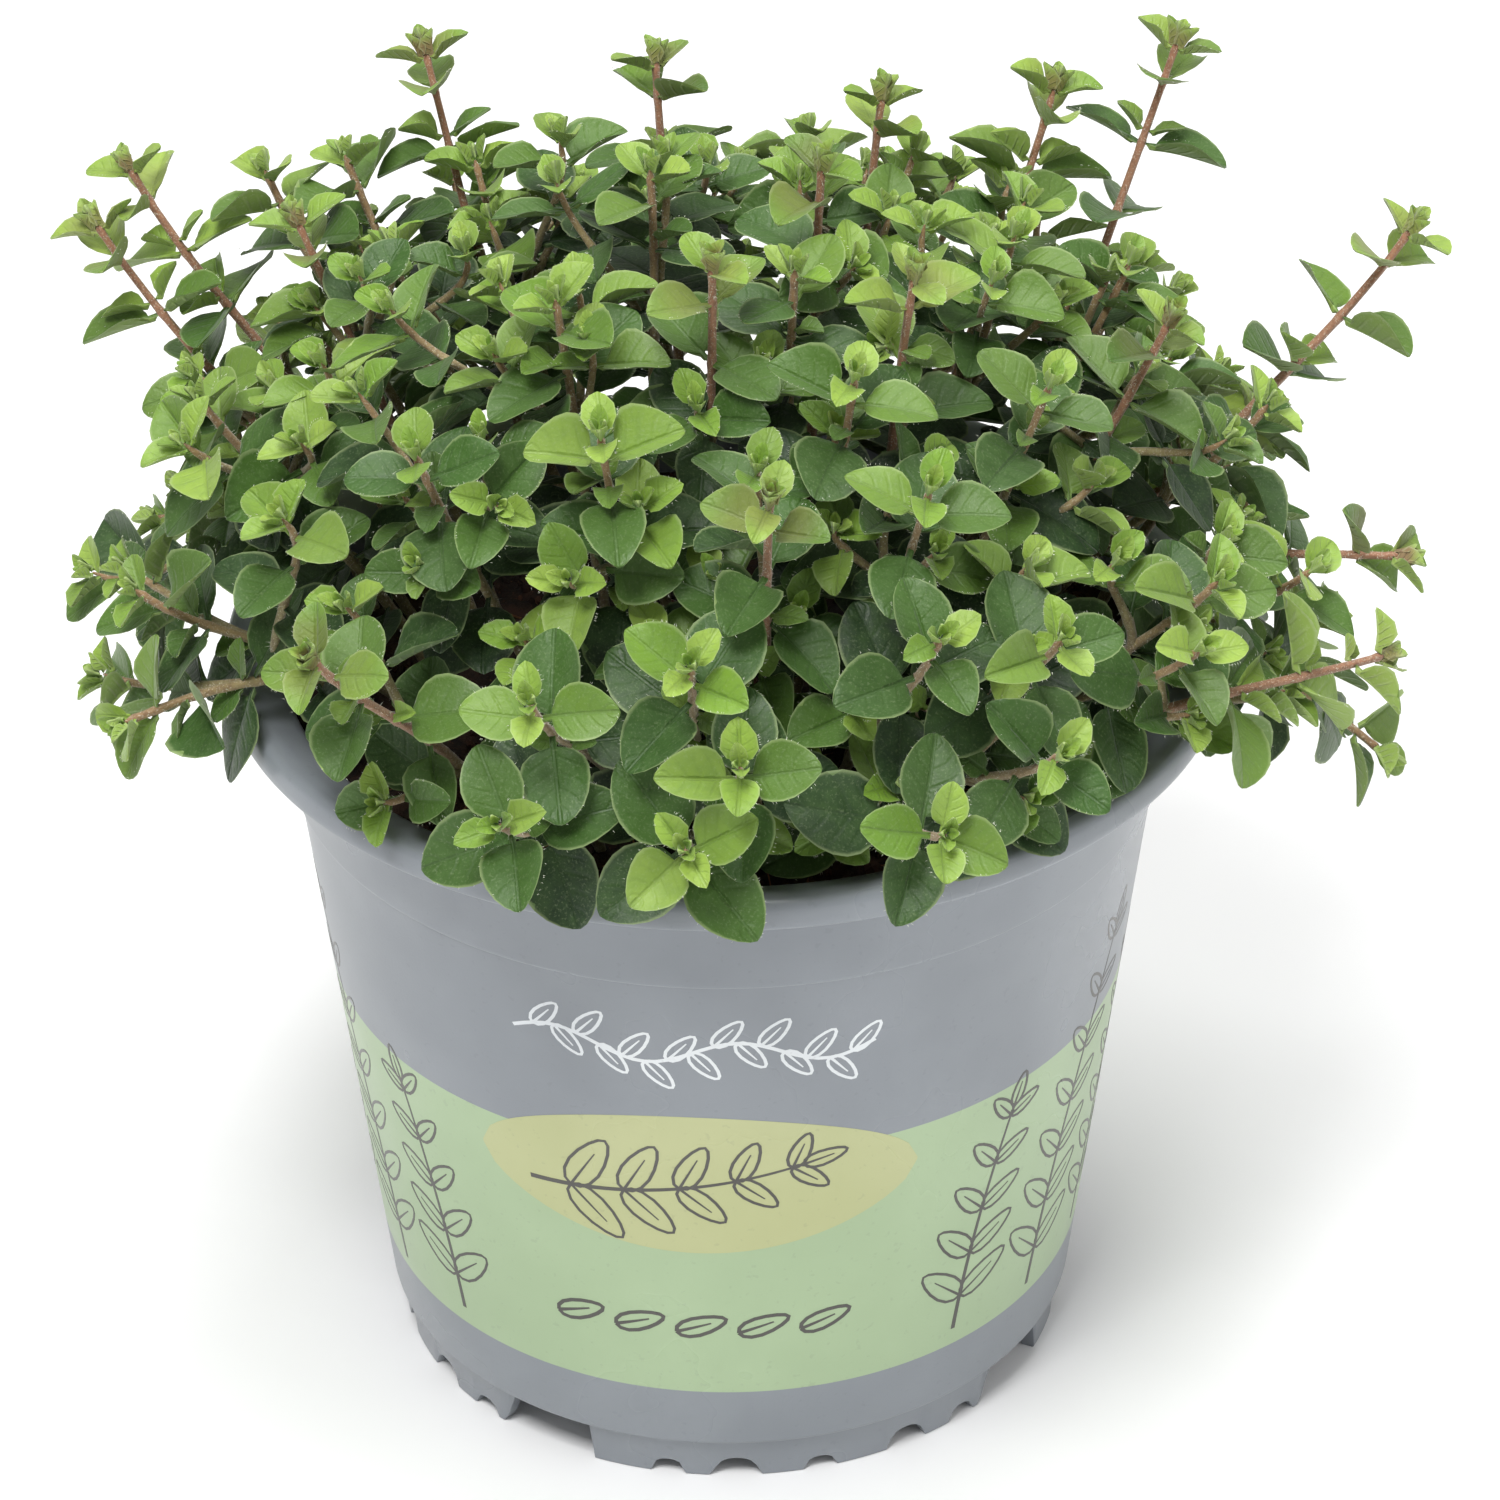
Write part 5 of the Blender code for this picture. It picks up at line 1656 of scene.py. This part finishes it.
class Nodes:
    """A new material, and short calls that add nodes to it."""

    def __init__(self, name):
        self.material = bpy.data.materials.new(name)
        self.material.use_nodes = True
        self.tree = self.material.node_tree
        self.shader = self.tree.nodes["Principled BSDF"]

    def value(self, source, socket):
        if isinstance(source, (int, float)):
            socket.default_value = source
        elif isinstance(source, tuple):
            socket.default_value = source if len(socket.default_value) == len(source) else (*source, 1.0)
        else:
            self.tree.links.new(source, socket)

    def math(self, operation, a, b=0.0):
        node = self.tree.nodes.new("ShaderNodeMath")
        node.operation = operation
        self.value(a, node.inputs[0])
        self.value(b, node.inputs[1])
        return node.outputs[0]

    def mix(self, share, a, b, blend="MIX"):
        node = self.tree.nodes.new("ShaderNodeMix")
        node.data_type = "RGBA"
        node.blend_type = blend
        for source, socket in ((share, node.inputs["Factor"]), (a, node.inputs[6]), (b, node.inputs[7])):
            self.value(source, socket)
        return node.outputs[2]

    def attribute(self, name):
        """The three parts of a vector attribute."""
        node = self.tree.nodes.new("ShaderNodeAttribute")
        node.attribute_name = name
        split = self.tree.nodes.new("ShaderNodeSeparateXYZ")
        self.tree.links.new(node.outputs["Vector"], split.inputs[0])
        return split.outputs

    def noise(self, scale, detail=3.0, rough=0.55):
        node = self.tree.nodes.new("ShaderNodeTexNoise")
        place = self.tree.nodes.new("ShaderNodeTexCoord").outputs["Object"]
        self.tree.links.new(place, node.inputs["Vector"])
        self.value(scale, node.inputs["Scale"])
        self.value(detail, node.inputs["Detail"])
        self.value(rough, node.inputs["Roughness"])
        return node.outputs["Fac"]

    def smooth(self, value, low, high, out_low=0.0, out_high=1.0):
        node = self.tree.nodes.new("ShaderNodeMapRange")
        node.interpolation_type = "SMOOTHSTEP"
        self.value(value, node.inputs["Value"])
        ends = {"From Min": low, "From Max": high, "To Min": out_low, "To Max": out_high}
        for name, number in ends.items():
            node.inputs[name].default_value = number
        return node.outputs["Result"]

    def bump(self, height, distance, strength=1.0, before=None):
        node = self.tree.nodes.new("ShaderNodeBump")
        node.inputs["Distance"].default_value = distance
        node.inputs["Strength"].default_value = strength
        self.value(height, node.inputs["Height"])
        if before is not None:
            self.tree.links.new(before, node.inputs["Normal"])
        return node.outputs[0]

    def between(self, share, tones):
        """A colour between two screen colours."""
        return self.mix(share, srgb(*tones[0]), srgb(*tones[1]))

    def stain(self, colour, marks, share, tone):
        """Turns a colour to a screen colour by a share of the marks."""
        return self.mix(self.math("MULTIPLY", marks, share), colour, srgb(*tone))

    def speckle(self, colour, marks, low, high, share, tone):
        """Turns a colour to a screen colour by up to share, where the marks rise from low to high."""
        return self.mix(self.smooth(marks, low, high, 0.0, share), colour, srgb(*tone))

    def set(self, **inputs):
        for name, source in inputs.items():
            self.value(source, self.shader.inputs[name.replace("_", " ")])


def srgb(red, green, blue):
    """A screen colour of 0 to 255 as the shader's linear one."""
    return tuple(
        (value / 255 / 12.92) if value / 255 <= 0.04045 else ((value / 255 + 0.055) / 1.055) ** 2.4
        for value in (red, green, blue)
    )


def vein_marks(nodes, blade):
    """Where a leaf's midrib, side veins and rim run, as 0 to 1."""
    along, side_mm, across = blade
    midrib = nodes.smooth(nodes.math("ABSOLUTE", side_mm), 0.08, 0.36, 1.0, 0.0)
    far = nodes.math("ABSOLUTE", across)
    sweep = nodes.math("MULTIPLY", nodes.math("POWER", far, VEIN_BEND), VEIN_SWEEP)
    phase = nodes.math("DIVIDE", nodes.math("SUBTRACT", along, sweep), VEIN_SPACING)
    turn = nodes.math("SUBTRACT", nodes.math("FRACT", nodes.math("ADD", phase, 10.0)), 0.5)
    line = nodes.smooth(nodes.math("ABSOLUTE", turn), 0.02, 0.20, 1.0, 0.0)
    side_veins = nodes.math("MULTIPLY", line, nodes.smooth(far, 0.55, 0.95, 1.0, 0.0))
    return midrib, side_veins, nodes.smooth(far, 0.88, 0.99)


def make_leaf_upper():
    nodes = Nodes("leaf_upper")
    age, shade, blush = nodes.attribute("tone")
    blade = nodes.attribute("blade")
    midrib, side_veins, rim = vein_marks(nodes, blade)
    young = nodes.between(shade, YOUNG_GREENS)
    grown = nodes.between(shade, GROWN_GREENS)
    old = nodes.between(shade, OLD_AND_SHADED_GREENS)
    colour = nodes.mix(nodes.smooth(age, 0.0, 0.40), young, grown)
    # Old leaves take the darkest greens: their own colour, and partly painted shade deep in the foliage
    colour = nodes.mix(nodes.smooth(age, 0.40, 0.90), colour, old)
    mottle = nodes.noise(480.0, 4.0)
    colour = nodes.speckle(colour, mottle, 0.35, 0.70, 0.22, MOTTLE_GREEN)
    veins = nodes.math("MAXIMUM", midrib, nodes.math("MULTIPLY", side_veins, 0.45))
    # The veins are darkened a little: painted shade in their sunken grooves, as well as the bump further
    # down
    colour = nodes.stain(colour, veins, 0.10, VEIN_SHADE_GREEN)
    down = nodes.noise(3000.0, 2.0)
    colour = nodes.speckle(colour, down, 0.52, 0.75, 0.20, DOWN_GREEN)
    colour = nodes.stain(colour, rim, 0.42, RIM_GREEN)
    base = nodes.smooth(blade[0], 0.35, 0.95, 1.0, 0.0)
    colour = nodes.stain(colour, blush, base, BLUSH_RED)
    relief = nodes.bump(nodes.math("MULTIPLY", veins, -1.0), 0.00018, 0.6)
    grain = nodes.bump(nodes.noise(2100.0, 3.0), 0.00010, 0.7, relief)
    nodes.set(Base_Color=colour, Roughness=nodes.smooth(mottle, 0.3, 0.8, 0.44, 0.58), Normal=grain)
    nodes.set(Sheen_Weight=0.12, Sheen_Roughness=0.45, Specular_IOR_Level=0.40)
    return nodes.material


def make_leaf_under():
    nodes = Nodes("leaf_under")
    age, _, blush = nodes.attribute("tone")
    blade = nodes.attribute("blade")
    midrib, side_veins, rim = vein_marks(nodes, blade)
    colour = nodes.between(nodes.smooth(age, 0.0, 0.8), UNDER_GREENS)
    veins = nodes.math("MAXIMUM", midrib, nodes.math("MULTIPLY", side_veins, 0.7))
    colour = nodes.stain(colour, veins, 0.45, UNDER_VEIN_GREEN)
    down = nodes.noise(2600.0, 2.0)
    colour = nodes.speckle(colour, down, 0.5, 0.8, 0.3, UNDER_DOWN_GREEN)
    base = nodes.smooth(blade[0], 0.30, 0.90, 1.0, 0.0)
    colour = nodes.stain(colour, blush, base, UNDER_BLUSH_RED)
    colour = nodes.stain(colour, rim, 0.4, UNDER_RIM_GREEN)
    nodes.set(Base_Color=colour, Roughness=nodes.smooth(down, 0.3, 0.8, 0.58, 0.72))
    nodes.set(Normal=nodes.bump(veins, 0.00022, 0.8), Sheen_Weight=0.15, Specular_IOR_Level=0.3)
    return nodes.material


def make_stem_skin():
    nodes = Nodes("stem_skin")
    age, _, blush = nodes.attribute("tone")
    green = nodes.between(age, STEM_GREENS)
    red = nodes.between(age, STEM_REDS)
    colour = nodes.mix(nodes.smooth(blush, 0.1, 0.6), green, red)
    streak = nodes.noise(1400.0, 4.0)
    colour = nodes.speckle(colour, streak, 0.42, 0.7, 0.5, STEM_STREAK)
    colour = nodes.speckle(colour, nodes.noise(4200.0, 2.0), 0.54, 0.74, 0.6, STEM_FLECK)
    nodes.set(Base_Color=colour, Roughness=nodes.smooth(streak, 0.3, 0.8, 0.55, 0.75))
    nodes.set(Normal=nodes.bump(nodes.noise(3000.0, 3.0), 0.0001, 0.8), Sheen_Weight=0.3)
    return nodes.material


def make_hair():
    nodes = Nodes("hair")
    nodes.set(Base_Color=nodes.between(nodes.noise(300.0), HAIR_TONES), Roughness=0.6)
    return nodes.material


def make_soil():
    nodes = Nodes("potting_soil")
    kind, shade, _ = nodes.attribute("tone")
    coarse, fine = nodes.noise(260.0, 6.0, 0.65), nodes.noise(1500.0, 4.0)
    colour = nodes.between(nodes.smooth(coarse, 0.35, 0.7), SOIL_TONES)
    colour = nodes.speckle(colour, shade, 0.55, 1.0, 0.7, SOIL_RED)
    colour = nodes.speckle(colour, fine, 0.60, 0.72, 0.6, SOIL_PALE)
    colour = nodes.mix(nodes.smooth(kind, 1.2, 1.6), colour, nodes.between(shade, FIBRE_TONES))
    nodes.set(Base_Color=colour, Roughness=nodes.smooth(fine, 0.3, 0.8, 0.80, 0.98))
    nodes.set(Normal=nodes.bump(coarse, 0.0008, 0.9, nodes.bump(fine, 0.0003, 0.8)))
    return nodes.material


def make_plastic(name, tones):
    """Moulded plastic, bare or printed, in the two tones that it drifts between."""
    nodes = Nodes(name)
    cloud, grain = nodes.noise(35.0, 3.0), nodes.noise(2600.0, 3.0)
    colour = nodes.between(nodes.smooth(cloud, 0.3, 0.7), tones)
    colour = nodes.speckle(colour, nodes.noise(900.0, 2.0), 0.64, 0.72, 0.12, SCUFF)
    nodes.set(Base_Color=colour, Roughness=nodes.smooth(cloud, 0.3, 0.7, 0.26, 0.34))
    nodes.set(Normal=nodes.bump(grain, 0.00003, 0.5), Specular_IOR_Level=0.45)
    return nodes.material


# Stage


def add_stage():
    """A pale floor, a white studio and three soft lamps."""
    mesh = bpy.data.meshes.new("floor")
    corners = [(x * FLOOR_REACH, y * FLOOR_REACH, 0.0) for x, y in ((-1, -1), (1, -1), (1, 1), (-1, 1))]
    mesh.from_pydata(corners, [], [(0, 1, 2, 3)])
    floor = bpy.data.objects.new("floor", mesh)
    bpy.context.scene.collection.objects.link(floor)
    nodes = Nodes("floor_paint")
    paint = nodes.mix(nodes.noise(2.0), (0.90, 0.90, 0.90), (0.93, 0.93, 0.93))
    nodes.set(Base_Color=paint, Roughness=0.7)
    mesh.materials.append(nodes.material)
    world = bpy.data.worlds.new("studio")
    world.use_nodes = True
    background = world.node_tree.nodes["Background"]
    background.inputs["Color"].default_value = (1.0, 1.0, 1.0, 1.0)
    background.inputs["Strength"].default_value = WORLD_LIGHT
    bpy.context.scene.world = world
    for name, place, width, power in LAMPS:
        data = bpy.data.lights.new(name, "AREA")
        data.size = width
        data.energy = power
        lamp = bpy.data.objects.new(name, data)
        lamp.location = place
        lamp.rotation_euler = (LAMP_AIM - lamp.location).to_track_quat("-Z", "Y").to_euler()
        bpy.context.scene.collection.objects.link(lamp)


def add_camera():
    """The photograph's camera."""
    forward, right, up = camera_axes()
    matrix = Matrix((right, up, -forward)).transposed()
    data = bpy.data.cameras.new("camera")
    data.sensor_width = SENSOR_WIDTH
    data.lens = SENSOR_WIDTH * FOCAL_PIXELS / FRAME_PIXELS
    data.clip_start = 0.01
    camera = bpy.data.objects.new("camera", data)
    camera.matrix_world = Matrix.Translation(CAMERA_PLACE + POT_AXIS) @ matrix.to_4x4()
    bpy.context.scene.collection.objects.link(camera)
    bpy.context.scene.camera = camera


def add_plant(materials):
    """A piece for every stem, with its side shoots, in place of its solid."""
    stems, crowd = lay_out()
    draw = random.Random(SEED + 1)
    branches = add_branches(stems, crowd, draw)
    add_inner_pairs(stems, crowd, draw)
    add_axil_leaves(stems, crowd, draw)
    for number, stem in enumerate(stems):
        growth = Growth(materials)
        flush = draw.uniform(*FLUSH)
        dress_stem(growth, stem, draw, flush)
        for branch in branches:
            if branch["parent"] == number:
                dress_stem(growth, branch, draw, flush + draw.uniform(*BRANCH_FLUSH))
        node = f"{stem['kind']}_{number + 1:02d}"
        piece = growth.make(f"{node}_foliage")
        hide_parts(node)


def main():
    bpy.context.scene.view_settings.view_transform = "Standard"
    add_camera()
    add_stage()
    add_pot([make_plastic("grey_plastic", PLASTIC_TONES), make_plastic("green_print", GREEN_TONES)])
    inks = (("yellow_ink", YELLOW_TONES), ("white_ink", WHITE_TONES), ("dark_ink", DARK_TONES))
    add_print([make_plastic(name, tones) for name, tones in inks])
    add_soil([make_soil()], random.Random(SEED + 2))
    add_plant([make_leaf_upper(), make_leaf_under(), make_stem_skin(), make_hair()])


main()
bpy.context.view_layer.update()
